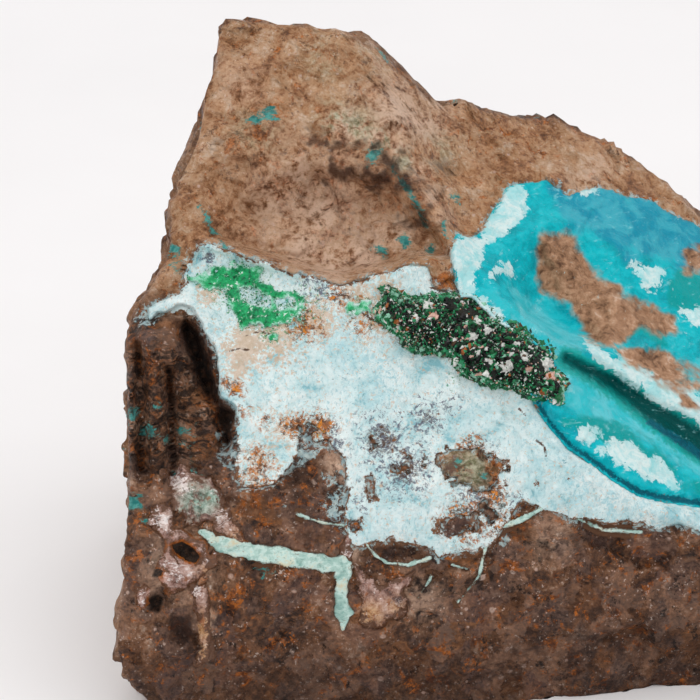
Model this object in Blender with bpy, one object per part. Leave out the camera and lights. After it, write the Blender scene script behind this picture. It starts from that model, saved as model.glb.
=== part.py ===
"""Chrysocolla in matrix: one broken hand specimen, resting on its flat base.

The stone is a block of brown quartz and limonite. Its leaning front face wears a pale crust of
chrysocolla, with a shelf of green malachite above it, a gritty ridge of dark crystals along its top
edge and banded turquoise layers running down to the right. Above the crust is a bowl under a brow,
and at its left end a narrow hollow with a tongue of rock in it.

The block is an intersection of leaning flat faces with rounded edges, measured outward from a point
inside it. Broken facets and slow swells are added to that, and the forms of the front face are then
pushed in or pulled out along the line of sight of someone looking at that face. Those forms are laid
out on the show plane, which leans back by LEAN and has its centre at FACE_CENTRE.

Lengths in the tables below are millimetres. The finished object is in metres, +Z up, with its origin
at the middle of its footprint.
"""

import math

import bmesh
import bpy
import numpy as np

# ---------------------------------------------------------------- driving dimensions, millimetres
LEAN = math.radians(24.0)
EYE_DISTANCE = 389.0
FACE_CENTRE = np.array([0.0, 0.0, 36.3])
CORE = np.array([14.0, 20.0, 24.0])
EDGE_SHARPNESS = 30.0
CELLS_PER_SIDE = 28
GRID_STRETCH = (1.4, 1.0, 1.0)
GRID_SHIFT = (-0.35, -0.5, 0.22)

SWELL_HEIGHT = 0.8
SWELL_SIZE = 16.0
SCAR_COUNT = 150
SCAR_SEED = 11
SCAR_RADIUS = (10.0, 70.0)
SCAR_DEPTH = (0.4, 1.3)
SCAR_TILT = 3.0
GRAIN_HEIGHT = 0.25
GRAIN_SIZE = 4.0

BOWL_DEPTH = 6.5
WALL_WIDTH = 2.4
SHELF_SLOPE = 0.35
HOLLOW_DEPTH = 4.2
HOLLOW_WALL = 3.2
DRUSE_HEIGHT = 2.6
ISLAND_HEIGHT = 0.9

RIGHT = np.array([1.0, 0.0, 0.0])
UP = np.array([0.0, math.sin(LEAN), math.cos(LEAN)])
AWAY = np.array([0.0, math.cos(LEAN), -math.sin(LEAN)])

# The flat faces of the block: a point on each, and which way it faces.
FACES = {
    "show face": ((0.0, 0.0, 36.3), (0.05, -0.913, 0.407)),
    "lower front": ((25.0, -5.5, 19.1), (0.143, -1.0, -0.031)),
    "left": ((-23.4, 0.0, 20.0), (-1.0, 0.04, 0.02)),
    "left upper": ((-23.2, -0.2, 30.9), (-1.0, 0.0, 0.3)),
    "rise": ((-5.0, 30.0, 53.0), (-0.05, -0.654, 0.756)),
    "summit": ((-5.0, 36.2, 57.3), (0.10, 0.35, 1.0)),
    "blue slope": ((15.8, 25.1, 43.5), (0.484, -0.357, 0.799)),
    "right shoulder": ((38.0, 37.0, 36.0), (0.62, 0.05, 0.78)),
    "right ridge": ((57.0, 34.0, 24.0), (0.68, 0.38, 0.62)),
    "back top": ((0.0, 40.0, 56.0), (0.1, 0.78, 0.6)),
    "back": ((10.0, 48.0, 20.0), (-0.05, 1.0, 0.08)),
    "back chip": ((24.0, 48.0, 33.0), (0.32, 0.86, 0.40)),
    "back left": ((-18.0, 40.0, 20.0), (-0.75, 0.65, 0.1)),
    "back left chip": ((-18.5, 43.0, 44.0), (-0.6, 0.7, 0.4)),
    "back right": ((44.0, 40.0, 22.0), (0.55, 0.8, 0.2)),
    "right end": ((64.0, 12.0, 14.0), (0.88, -0.1, 0.42)),
    "right front": ((46.0, -4.5, 12.0), (0.36, -0.93, 0.05)),
    "right low": ((62.0, 4.0, 5.0), (0.75, -0.5, -0.45)),
    "right back low": ((58.0, 32.0, 6.0), (0.78, 0.55, -0.3)),
    "left low": ((-22.3, 0.0, 3.0), (-0.8, -0.1, -0.6)),
    "back low": ((5.0, 46.0, 4.0), (0.0, 0.8, -0.6)),
    "base": ((0.0, 0.0, -3.2), (0.0, 0.0, -1.0)),
}

# How far the outline stands out at each angle about the core, in degrees, seen along the sight line.
OUTLINE = [
    (-180, 1.02), (-168, 0.985), (-161, 0.975), (-153, 0.98), (-147, 0.982), (-141, 1.02), (-132, 1.0),
    (-60, 1.0), (0, 1.0), (38, 1.04), (47, 1.05), (55, 1.01), (64, 1.015), (72, 0.997), (80, 0.955),
    (88, 0.9), (95, 0.885), (100, 0.885), (103, 0.9), (106, 0.99), (110, 1.02), (118, 1.018),
    (126, 1.027), (130, 1.015), (136, 1.0), (141, 0.985), (148, 0.984), (154, 0.978), (159, 0.955),
    (163, 0.98), (168, 1.015), (173, 1.037), (180, 1.02),
]
OUTLINE_BLEND = (-3.0, -1.5, 0.0, 1.5, 3.0)

# Forms of the show face, as (across, up) from FACE_CENTRE. Areas are closed, lines are open.
BOWL = [
    (-14.5, 13.5), (-15, 17), (-13.5, 18.5), (-9, 18.5), (-3, 19), (3, 17.5), (7, 14.5), (10, 11),
    (10.5, 8.8), (8.2, 8.8), (6.2, 8.8), (4.6, 8.2), (1.4, 7.5), (-0.5, 6.8), (-3.6, 7.4),
    (-8.3, 8.8), (-12.2, 10.3), (-14.5, 11),
]
SHELF = [
    (-16.7, 5.6), (-15, 2.8), (-13.3, 0.5), (-11, -0.2), (-8.8, 0.5), (-5, 3.4), (0, 5.8), (3.5, 6.3),
    (8, 8.5), (6.2, 8.8), (4.5, 8.1), (1.4, 7.4), (-0.5, 6.7), (-3.6, 7.3), (-8.3, 8.7),
    (-12.2, 10.2), (-15.3, 10.8), (-16.2, 8.8),
]
HOLLOW = [
    (-18.6, 2.4), (-16.4, 3.4), (-14.7, 2.0), (-13.6, -0.2), (-13.0, -4.2), (-11.4, -6.2),
    (-11.2, -9.0), (-12.5, -12.0), (-15.5, -13.5), (-17.8, -11.0), (-18.4, -5.0), (-18.9, 0.0),
]
DRUSE = [
    (2.2, 5.4), (5.0, 5.8), (10.0, 5.0), (13.0, 5.4), (15.0, 2.5), (17.5, 0.5), (20.2, -1.2),
    (21.3, -3.5), (21.0, -5.0), (19.0, -5.4), (17.0, -4.2), (13.0, -2.5), (10.0, -0.2), (7.0, 0.5),
    (4.5, 2.0), (2.8, 4.0),
]
ISLAND = [
    (19.0, 11.5), (21.5, 11.0), (24.0, 8.0), (28.0, 5.0), (32.0, 2.0), (33.5, 0.0), (30.0, -0.5),
    (26.5, -1.5), (23.5, 2.0), (20.5, 4.0), (19.5, 8.0),
]
SHELF_LIP = SHELF[:9]

# Ribs and grooves: the line, how wide it is, and how far it stands out (in, where negative).
RIBS = [
    ([(-15.5, 10.2), (-12.2, 9.9), (-8.3, 8.5), (-3.6, 7.1), (-0.5, 6.5), (4.5, 7.9), (8.0, 8.6)], 0.9, 0.7),
    ([(2.0, 18.0), (5.5, 16.5), (9.0, 12.5), (11.0, 8.8)], 1.3, 1.2),
    ([(-17.8, -1.5), (-16.6, -5.0), (-14.4, -10.5)], 2.3, 2.2),
    ([(-20.0, -1.0), (-19.6, -5.0), (-19.4, -12.0)], 1.5, 0.8),
    ([(-14.6, -24.5), (-14.3, -27.5), (-13.9, -30.8)], 1.1, 0.9),
    ([(22.5, -1.2), (27.0, -4.5), (35.0, -10.0), (48.0, -17.0)], 1.4, -1.3),
    ([(22.5, 1.5), (27.0, -2.2), (35.0, -7.5), (48.0, -15.0)], 1.5, 0.9),
    ([(19.0, -5.5), (21.5, -8.0), (26.0, -12.0), (30.0, -14.8), (36.0, -15.8), (46.0, -19.0)], 1.1, -0.5),
]

# Pits and knobs: middle, half-width, and how far each stands out (in, where negative).
KNOBS = [
    ((-16.6, -20.2), 1.0, -1.3), ((-19.5, -25.2), 0.9, -0.9), ((-17.2, -27.8), 1.6, -1.2),
    ((-17.0, -15.0), 1.8, 1.2), ((-13.6, -17.2), 1.3, 0.9), ((-18.6, -22.8), 1.5, 0.8),
    ((12.0, -12.0), 2.6, 0.7), ((-6.0, -13.0), 3.2, 0.8), ((4.6, -20.2), 2.4, -0.5),
    ((3.0, -25.5), 2.0, 0.6), ((30.0, -21.0), 3.5, -0.8), ((16.0, -26.0), 3.5, 0.7),
    ((-11.5, 23.5), 3.0, 0.8), ((-2.0, 26.5), 3.5, -0.8), ((7.0, 23.0), 2.8, 0.7),
]


def unit(vector):
    """A vector at length one."""
    vector = np.asarray(vector, float)
    return vector / np.linalg.norm(vector)


FACE_NORMALS = np.array([unit(normal) for _, normal in FACES.values()])
FACE_REACH = np.array([(np.array(point) - CORE) @ unit(normal) for point, normal in FACES.values()])


def smooth(value, low, high):
    """Ease from 0 to 1 as a value runs from low to high."""
    share = np.clip((value - low) / (high - low), 0.0, 1.0)
    return share * share * (3.0 - 2.0 * share)


def hashed(i, j, k, seed):
    """A repeatable number from 0 to 1 for each whole-numbered cell."""
    mixed = (i * 73856093) ^ (j * 19349663) ^ (k * 83492791) ^ (seed * 2654435761 & 0x7FFFFFFF)
    mixed = (mixed ^ (mixed >> 13)) * 1274126177 & 0x7FFFFFFF
    return ((mixed ^ (mixed >> 16)) & 0xFFFFFF) / float(0xFFFFFF)


def value_noise(points, seed):
    """Smooth noise from -1 to 1: cell corner values blended by a quintic in each direction."""
    cell = np.floor(points).astype(np.int64)
    part = points - cell
    blend = part ** 3 * (part * (part * 6.0 - 15.0) + 10.0)
    total = np.zeros(len(points))
    for dx in (0, 1):
        for dy in (0, 1):
            for dz in (0, 1):
                corner = hashed(cell[:, 0] + dx, cell[:, 1] + dy, cell[:, 2] + dz, seed)
                along_x = blend[:, 0] if dx else 1.0 - blend[:, 0]
                along_y = blend[:, 1] if dy else 1.0 - blend[:, 1]
                along_z = blend[:, 2] if dz else 1.0 - blend[:, 2]
                total += corner * along_x * along_y * along_z
    return total * 2.0 - 1.0


def fractal(points, size, octaves, seed):
    """Noise summed over octaves, each half the size and half the height of the one before."""
    total = np.zeros(len(points))
    weight = 0.0
    for octave in range(octaves):
        height = 0.5 ** octave
        total += height * value_noise(points / size * 2.0 ** octave + 17.3 * octave, seed + octave)
        weight += height
    return total / weight


def scar_hollows():
    """Middles and radii of the balls whose surfaces are the shell-shaped breaks of the back and sides."""
    rng = np.random.default_rng(SCAR_SEED)
    directions = rng.normal(size=(SCAR_COUNT, 3))
    directions /= np.linalg.norm(directions, axis=1)[:, None]
    directions = directions[directions @ AWAY > -0.25]
    count = len(directions)
    spots = CORE + directions * block_radius(directions)[:, None]
    normals = FACE_NORMALS[np.argmax(directions @ FACE_NORMALS.T / FACE_REACH, axis=1)]
    radii = np.exp(rng.uniform(*np.log(SCAR_RADIUS), size=count))
    normals = normals + SCAR_TILT / radii[:, None] * rng.normal(size=(count, 3))
    normals /= np.linalg.norm(normals, axis=1)[:, None]
    depths = rng.uniform(*SCAR_DEPTH, size=count)
    return spots + normals * (radii - depths)[:, None], radii


def scar_depth(points):
    """How deep the deepest break is at each point: the most that the point lies inside any ball."""
    deepest = np.zeros(len(points))
    for middle, radius in zip(*scar_hollows()):
        deepest = np.maximum(deepest, radius - np.linalg.norm(points - middle, axis=1))
    return deepest


def area_depth(across, up, area):
    """Distance to a closed outline, positive inside it."""
    corners = np.asarray(area, float)
    nearest = np.full(len(across), 1e9)
    inside = np.zeros(len(across), bool)
    for (x0, y0), (x1, y1) in zip(corners, np.roll(corners, -1, axis=0)):
        run, rise = x1 - x0, y1 - y0
        share = np.clip(((across - x0) * run + (up - y0) * rise) / (run * run + rise * rise), 0.0, 1.0)
        nearest = np.minimum(nearest, np.hypot(across - x0 - share * run, up - y0 - share * rise))
        level = rise if abs(rise) > 1e-9 else 1e-9
        inside ^= ((y0 > up) != (y1 > up)) & (across < x0 + (up - y0) * run / level)
    return np.where(inside, nearest, -nearest)


def line_distance(across, up, line):
    """Distance to an open line."""
    nearest = np.full(len(across), 1e9)
    for (x0, y0), (x1, y1) in zip(line[:-1], line[1:]):
        run, rise = x1 - x0, y1 - y0
        share = np.clip(((across - x0) * run + (up - y0) * rise) / (run * run + rise * rise), 0.0, 1.0)
        nearest = np.minimum(nearest, np.hypot(across - x0 - share * run, up - y0 - share * rise))
    return nearest


def relief(across, up):
    """How far the show face stands out towards the viewer at each place on it."""
    bowl = area_depth(across, up, BOWL)
    sharp_edge = smooth(bowl, 0.0, WALL_WIDTH)
    soft_edge = smooth(bowl, -0.4, 2.4 + 3.0 * smooth(-across, 3.0, 9.0))
    brow = smooth(up, 9.5, 13.0)
    height = -(BOWL_DEPTH - 0.12 * (up - 7.0)) * (sharp_edge * (1.0 - brow) + soft_edge * brow)

    lip = np.minimum(line_distance(across, up, SHELF_LIP), 4.0)
    height -= smooth(area_depth(across, up, SHELF), 0.0, WALL_WIDTH) * SHELF_SLOPE * lip

    hollow = area_depth(across, up, HOLLOW)
    right_side = smooth(across, -18.0, -15.5)
    walls = smooth(hollow, -0.3, HOLLOW_WALL) * right_side + smooth(hollow, 0.0, 2.6) * (1.0 - right_side)
    height -= HOLLOW_DEPTH * walls

    druse = np.clip(area_depth(across, up, DRUSE) / 3.2, 0.0, 1.0)
    height += DRUSE_HEIGHT * np.sqrt(druse)
    height += ISLAND_HEIGHT * smooth(area_depth(across, up, ISLAND), -0.2, 1.2)
    for line, half_width, stand_out in RIBS:
        height += stand_out * np.exp(-(line_distance(across, up, line) / half_width) ** 2)
    for (x, y), half_width, stand_out in KNOBS:
        height += stand_out * np.exp(-((across - x) ** 2 + (up - y) ** 2) / half_width ** 2)
    return height


def ball_grid(cells):
    """Directions and four-sided cells of a cube blown up to a ball, crowded towards the hollow."""
    steps = np.tan(np.linspace(-1.0, 1.0, cells + 1) * math.pi / 4.0)
    u, v = np.meshgrid(steps, steps, indexing="ij")
    one = np.ones_like(u)
    sides = [(one, u, v), (-one, v, u), (v, one, u), (u, -one, v), (u, v, one), (v, u, -one)]
    points = np.concatenate([np.stack([c.ravel() for c in side], axis=1) for side in sides])
    keys = np.round(points * 1e6).astype(np.int64)
    _, first, index = np.unique(keys, axis=0, return_index=True, return_inverse=True)
    corner = np.arange((cells + 1) ** 2).reshape(cells + 1, cells + 1)
    ring = (corner[:-1, :-1], corner[1:, :-1], corner[1:, 1:], corner[:-1, 1:])
    quad = np.stack(ring, axis=-1).reshape(-1, 4)
    quads = np.concatenate([quad + side * (cells + 1) ** 2 for side in range(6)])
    points = points[first]
    points /= np.linalg.norm(points, axis=1)[:, None]
    points = points * GRID_STRETCH + GRID_SHIFT
    points /= np.linalg.norm(points, axis=1)[:, None]
    return points, index.reshape(-1)[quads]


def face_share(directions):
    """How near each flat face is to being the one met in each direction, from 0 upwards."""
    return (np.maximum(directions @ FACE_NORMALS.T, 0.0) / FACE_REACH) ** EDGE_SHARPNESS


def block_radius(directions):
    """Distance from the core to the block's surface: the flat faces joined by rounded edges."""
    return face_share(directions).sum(axis=1) ** (-1.0 / EDGE_SHARPNESS)


def facing(directions):
    """1 where the block's surface looks towards the viewer, easing to 0 where it is seen edge on."""
    share = face_share(directions)
    normals = (share / share.sum(axis=1)[:, None]) @ FACE_NORMALS
    normals /= np.linalg.norm(normals, axis=1)[:, None]
    return smooth(-(normals @ AWAY), 0.12, 0.5)


def sight(points):
    """Each point's place on the show plane as the viewer sees it, and its depth beyond that plane."""
    offset = points - FACE_CENTRE
    depth = offset @ AWAY
    shrink = 1.0 + depth / EYE_DISTANCE
    return offset @ RIGHT / shrink, offset @ UP / shrink, depth


def shape_outline(points):
    """Move points across the line of sight so that the block takes the stone's own outline."""
    across, up, depth = sight(points)
    core_across, core_up, _ = (value[0] for value in sight(CORE[None, :]))
    angle = np.degrees(np.arctan2(up - core_up, across - core_across))
    knots, ratios = np.array(OUTLINE, float).T
    turned = [(angle + turn + 180.0) % 360.0 - 180.0 for turn in OUTLINE_BLEND]
    factor = sum(np.interp(turn, knots, ratios) for turn in turned) / len(OUTLINE_BLEND)
    stretch = 1.0 + depth / EYE_DISTANCE
    new_across = (core_across + (across - core_across) * factor) * stretch
    new_up = (core_up + (up - core_up) * factor) * stretch
    return FACE_CENTRE + new_across[:, None] * RIGHT + new_up[:, None] * UP + depth[:, None] * AWAY


def stone_points(directions):
    """The stone's surface in each direction from the core."""
    points = CORE + directions * block_radius(directions)[:, None]
    height = SWELL_HEIGHT * fractal(points, SWELL_SIZE, 3, 5)
    height -= scar_depth(points)
    points = shape_outline(points + directions * height[:, None])
    across, up, _ = sight(points)
    grain = GRAIN_HEIGHT * fractal(points, GRAIN_SIZE, 3, 11)
    rays = points - (FACE_CENTRE - AWAY * EYE_DISTANCE)
    rays /= np.linalg.norm(rays, axis=1)[:, None]
    points = points - rays * (relief(across, up) * facing(directions) + grain)[:, None]
    points[:, 2] = np.maximum(points[:, 2], 0.0)
    return points


def stone_material():
    """Brown weathered stone for the whole piece."""
    material = bpy.data.materials.new("stone")
    material.use_nodes = True
    shader = material.node_tree.nodes["Principled BSDF"]
    shader.inputs["Base Color"].default_value = (0.17, 0.085, 0.045, 1.0)
    shader.inputs["Roughness"].default_value = 0.75
    return material


def join_base(mesh):
    """Join every cell that lies on the ground into one flat face."""
    work = bmesh.new()
    work.from_mesh(mesh)
    base = [face for face in work.faces if max(corner.co.z for corner in face.verts) <= 0.0]
    bmesh.ops.dissolve_faces(work, faces=base, use_verts=True)
    work.to_mesh(mesh)
    work.free()


def main():
    """Clear the file and build the stone."""
    for old in list(bpy.data.objects):
        bpy.data.objects.remove(old, do_unlink=True)
    directions, quads = ball_grid(CELLS_PER_SIDE)
    points = stone_points(directions)
    middle = (points.min(axis=0) + points.max(axis=0)) / 2.0
    points -= (middle[0], middle[1], 0.0)
    mesh = bpy.data.meshes.new("chrysocolla_rock")
    mesh.from_pydata((points * 0.001).tolist(), [], quads.tolist())
    join_base(mesh)
    mesh.shade_smooth()
    mesh.materials.append(stone_material())
    rock = bpy.data.objects.new("chrysocolla_rock", mesh)
    bpy.context.scene.collection.objects.link(rock)


main()
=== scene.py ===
"""Visual model of a broken chrysocolla specimen, resting on its flat base.

The stone's form is a block of flat faces with rounded edges, cut by shell-shaped breaks, whose front is
laid out on a leaning show plane. The brown rock is one closed mesh worked out on a blown-up cube. What
has grown on it lies over it as thin closed skins worked out on a grid over the show plane: the pale
crust, the turquoise slope, the green malachite, the veins and the quartz. The druse is thousands of
small crystals set into its ridge.

Lengths are millimetres until a mesh is made, and metres in the meshes.
"""

import logging
import math
from dataclasses import dataclass, field
from enum import Enum

import bpy
import numpy as np
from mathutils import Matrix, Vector

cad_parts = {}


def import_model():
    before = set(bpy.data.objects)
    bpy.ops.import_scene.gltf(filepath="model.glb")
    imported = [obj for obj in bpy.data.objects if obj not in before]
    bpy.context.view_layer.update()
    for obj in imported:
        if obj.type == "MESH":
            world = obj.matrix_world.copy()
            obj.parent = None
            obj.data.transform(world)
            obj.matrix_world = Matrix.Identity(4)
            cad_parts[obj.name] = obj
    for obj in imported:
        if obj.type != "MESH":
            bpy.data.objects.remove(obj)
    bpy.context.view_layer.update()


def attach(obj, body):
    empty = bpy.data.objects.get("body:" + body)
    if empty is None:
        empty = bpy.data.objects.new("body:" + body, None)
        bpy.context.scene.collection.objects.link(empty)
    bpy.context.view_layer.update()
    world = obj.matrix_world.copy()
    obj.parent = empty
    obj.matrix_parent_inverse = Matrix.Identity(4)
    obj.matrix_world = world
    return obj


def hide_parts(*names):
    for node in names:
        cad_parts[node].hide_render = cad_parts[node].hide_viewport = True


Array = np.ndarray
Pair = tuple[float, float]
Triple = tuple[float, float, float]
Blotches = dict[str, tuple[tuple[float, float, float, float], ...]]

LOG = logging.getLogger("chrysocolla")
MM = 0.001
ROCK_NODE = "chrysocolla_rock"
ROOT_BODY = "root"
FOOTPRINT_MIDDLE = (21.82, 18.61, 0)


# ---- measures ----


def smooth(value: Array, low: float, high: float) -> Array:
    """Ease from 0 to 1 as a value runs from low to high."""
    share = np.clip((value - low) / (high - low), 0.0, 1.0)
    return share * share * (3.0 - 2.0 * share)


def unit(vector: Triple | Array) -> Array:
    """A vector at length one."""
    return np.asarray(vector, float) / np.linalg.norm(vector)


def unit_rows(vectors: Array) -> Array:
    """Each row of an array at length one."""
    return vectors / np.linalg.norm(vectors, axis=1)[:, None]


def tone(red: int, green: int, blue: int) -> tuple[float, float, float, float]:
    """A colour given as it looks on a screen, 0 to 255, as the linear colour that a shader takes.

    Args:
        red, green, blue: its parts.

    Returns:
        The linear red, green and blue with an alpha of 1, each part by the screen's own power curve.
    """
    parts = [value / 255.0 for value in (red, green, blue)]
    linear = [p / 12.92 if p <= 0.04045 else ((p + 0.055) / 1.055) ** 2.4 for p in parts]
    return (linear[0], linear[1], linear[2], 1.0)


def hashed(i: Array, j: Array, k: Array, seed: int) -> Array:
    """A repeatable number from 0 to 1 for each whole-numbered cell."""
    mixed = (i * 73856093) ^ (j * 19349663) ^ (k * 83492791) ^ (seed * 2654435761 & 0x7FFFFFFF)
    mixed = (mixed ^ (mixed >> 13)) * 1274126177 & 0x7FFFFFFF
    return ((mixed ^ (mixed >> 16)) & 0xFFFFFF) / float(0xFFFFFF)


def value_noise(points: Array, seed: int) -> Array:
    """Smooth noise: the hashed numbers of a cell's corners blended by a quintic in each direction.

    Args:
        points: places, one row each, one cell to a unit.
        seed: which noise.

    Returns:
        A value from -1 to 1 for each place.
    """
    cell = np.floor(points).astype(np.int64)
    part = points - cell
    blend = part ** 3 * (part * (part * 6.0 - 15.0) + 10.0)
    total = np.zeros(len(points))
    for dx, dy, dz in np.ndindex(2, 2, 2):
        corner = hashed(cell[:, 0] + dx, cell[:, 1] + dy, cell[:, 2] + dz, seed)
        weight = blend[:, 0] if dx else 1.0 - blend[:, 0]
        weight = weight * (blend[:, 1] if dy else 1.0 - blend[:, 1])
        total += corner * weight * (blend[:, 2] if dz else 1.0 - blend[:, 2])
    return total * 2.0 - 1.0


def fractal(points: Array, size: float, octaves: int, seed: int) -> Array:
    """Noise summed over octaves, each half the size and half the height of the one before.

    Args:
        points: places in millimetres, one row each.
        size: the largest octave's cell.
        octaves: how many are summed.
        seed: which noise.

    Returns:
        The sum over its greatest height, about -1 to 1.
    """
    total = np.zeros(len(points))
    weight = 0.0
    for octave in range(octaves):
        height = 0.5 ** octave
        total += height * value_noise(points / size * 2.0 ** octave + 17.3 * octave, seed + octave)
        weight += height
    return total / weight


def tilted_cells(points: Array, size: float, seed: int, crisp: float = 30.0) -> Array:
    """Height of small flat breaks: scattered middles, each a plane with its own tilt, joined by shares.

    Each middle's share at a point falls as exp(-crisp d^2), d the distance in cells, and the height is
    the mean of the planes by share.

    Args:
        points: places in millimetres, one row each.
        size: the spacing of the middles.
        seed: which set of middles.
        crisp: how sharply one plane gives way to the next.

    Returns:
        Heights of about -0.6 to 0.6 of a cell.
    """
    scaled = points / size
    cell = np.floor(scaled).astype(np.int64)
    height = np.zeros(len(points))
    weight = np.full(len(points), 1e-12)
    for step in np.ndindex(3, 3, 3):
        near = cell + np.array(step) - 1
        offset = scaled - near - np.stack([hashed(*near.T, seed + n) for n in range(3)], axis=1)
        tilt = np.stack([hashed(*near.T, seed + 3 + n) for n in range(3)], axis=1) * 2.0 - 1.0
        share = np.exp(-crisp * (offset ** 2).sum(axis=1))
        height += share * ((offset * tilt).sum(axis=1) + 0.5 * hashed(*near.T, seed + 6) - 0.25)
        weight += share
    return height / weight


def flat_points(across: Array, up: Array, layer: float = 0.0) -> Array:
    """Places on the show plane as rows of three, for noise that runs along it."""
    return np.stack([across, up, np.full(len(across), layer)], axis=1)


@dataclass(frozen=True)
class Area:
    """A closed outline on the show plane, as (across, up), whose border wanders by a noise.

    Attributes:
        corners: the outline's corners.
        ragged: how far the border wanders.
        size: the length of its wandering.
        seed: which noise it wanders by.
    """

    corners: tuple[Pair, ...]
    ragged: float = 0.0
    size: float = 1.6
    seed: int = 3

    def depth(self, across: Array, up: Array) -> Array:
        """Distance to the border, positive inside it.

        The nearest distance to any side, signed by how many sides a ray to the left crosses, plus the
        border's noise.

        Args:
            across, up: places on the show plane.

        Returns:
            The signed distance of each place.
        """
        nearest = np.full(len(across), 1e9)
        inside = np.zeros(len(across), bool)
        for (x0, y0), (x1, y1) in zip(self.corners, self.corners[1:] + self.corners[:1]):
            run, rise = x1 - x0, y1 - y0
            share = ((across - x0) * run + (up - y0) * rise) / (run * run + rise * rise)
            share = np.clip(share, 0.0, 1.0)
            nearest = np.minimum(nearest, np.hypot(across - x0 - share * run, up - y0 - share * rise))
            level = rise if abs(rise) > 1e-9 else 1e-9
            inside ^= ((y0 > up) != (y1 > up)) & (across < x0 + (up - y0) * run / level)
        signed = np.where(inside, nearest, -nearest)
        if self.ragged:
            signed = signed + self.ragged * 1.6 * fractal(flat_points(across, up), self.size, 4, self.seed)
        return signed


def within(areas: tuple[Area, ...], across: Array, up: Array) -> Array:
    """Distance inside the nearest of several areas."""
    return np.max([area.depth(across, up) for area in areas], axis=0)


@dataclass(frozen=True)
class Trail:
    """An open line on the show plane with a half-width at each end.

    Attributes:
        points: the line's corners, as (across, up).
        start: half-width at its start.
        end: half-width at its end.
        height: how far a rib on it stands out, negative for a groove.
        power: how flat the rib's top is, 2 for a bell.
    """

    points: tuple[Pair, ...]
    start: float
    end: float
    height: float = 0.0
    power: float = 2.0

    def reach(self, across: Array, up: Array) -> tuple[Array, Array]:
        """Nearest distance to the line, and its half-width at the nearest place.

        Args:
            across, up: places on the show plane.

        Returns:
            The distances and the half-widths.
        """
        corners = np.array(self.points)
        lengths = np.hypot(*(corners[1:] - corners[:-1]).T)
        nearest = np.full(len(across), 1e9)
        along = np.zeros(len(across))
        passed = 0.0
        for (x0, y0), (x1, y1), length in zip(corners[:-1], corners[1:], lengths):
            run, rise = x1 - x0, y1 - y0
            share = ((across - x0) * run + (up - y0) * rise) / length ** 2
            share = np.clip(share, 0.0, 1.0)
            distance = np.hypot(across - x0 - share * run, up - y0 - share * rise)
            along = np.where(distance < nearest, passed + share * length, along)
            nearest = np.minimum(nearest, distance)
            passed += length
        return nearest, self.start + (self.end - self.start) * along / passed

    def rib(self, across: Array, up: Array) -> Array:
        """The rib's height: a bell curve of the distance over the half-width."""
        distance, half_width = self.reach(across, up)
        return self.height * np.exp(-((distance / half_width) ** self.power))

    def depth(self, across: Array, up: Array, ragged: float = 0.0, seed: int = 9) -> Array:
        """Distance inside the line's border, which wanders by a noise."""
        distance, half_width = self.reach(across, up)
        return half_width - distance + ragged * fractal(flat_points(across, up), 0.9, 4, seed)


@dataclass(frozen=True)
class Spot:
    """A round spot on the show plane.

    Attributes:
        place: its middle, as (across, up).
        radius: where it has faded to a third.
        height: how far a knob on it stands out, negative for a pit.
    """

    place: Pair
    radius: float
    height: float = 1.0

    def bell(self, across: Array, up: Array) -> Array:
        """The spot's height: a bell curve of the distance over the radius."""
        square = (across - self.place[0]) ** 2 + (up - self.place[1]) ** 2
        return self.height * np.exp(-square / self.radius ** 2)


# ---- stone's form ----


PITS = (
    Area(((-17.8, -19.5), (-16.8, -19.2), (-15.6, -19.9), (-15, -20.8), (-15.5, -21.3), (-16.5, -21),
          (-17.5, -20.3)), 0.12, 0.6, 62),
    Area(((-19.4, -22), (-18.8, -22), (-18.8, -22.6), (-19.3, -22.6)), 0.1, 0.5, 63),
    Area(((-19.7, -24.8), (-19.2, -24.7), (-19, -25.4), (-19.3, -26.1), (-19.8, -25.9)), 0.15, 0.6, 64),
)
DRUSE = Area((
    (2.6, 4.4), (3.6, 6), (5.6, 5.4), (8.6, 5.4), (11.8, 6), (13, 5.2), (14.2, 3.6), (15.6, 2.6), (17, 2.2),
    (18.2, 1), (20.2, 0.2), (20.2, -1.8), (21.2, -2.4), (21.4, -3.4), (21, -5.2), (19, -5), (17.4, -5),
    (16.4, -3.8), (13.4, -3.2), (11.8, -2.6), (10.6, -1.6), (10.2, -0.8), (7, -0.2), (5.2, 0.8), (4.4, 2),
    (3, 3),
), 0.35)
SEAM: tuple[Pair, ...] = (
    (18.8, -5.3), (20.2, -7.5), (22, -9.5), (24.5, -11.2), (26.5, -12.7), (29, -14.2), (31, -14.7),
    (35, -15.3), (46, -19),
)
SHELF_LIP: tuple[Pair, ...] = (
    (-16.7, 5.6), (-15, 2.8), (-13.3, 0.5), (-11, -0.2), (-8.8, 0.5), (-5, 3.4), (0, 5.8), (3.5, 6.3),
    (8, 8.5),
)


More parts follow.
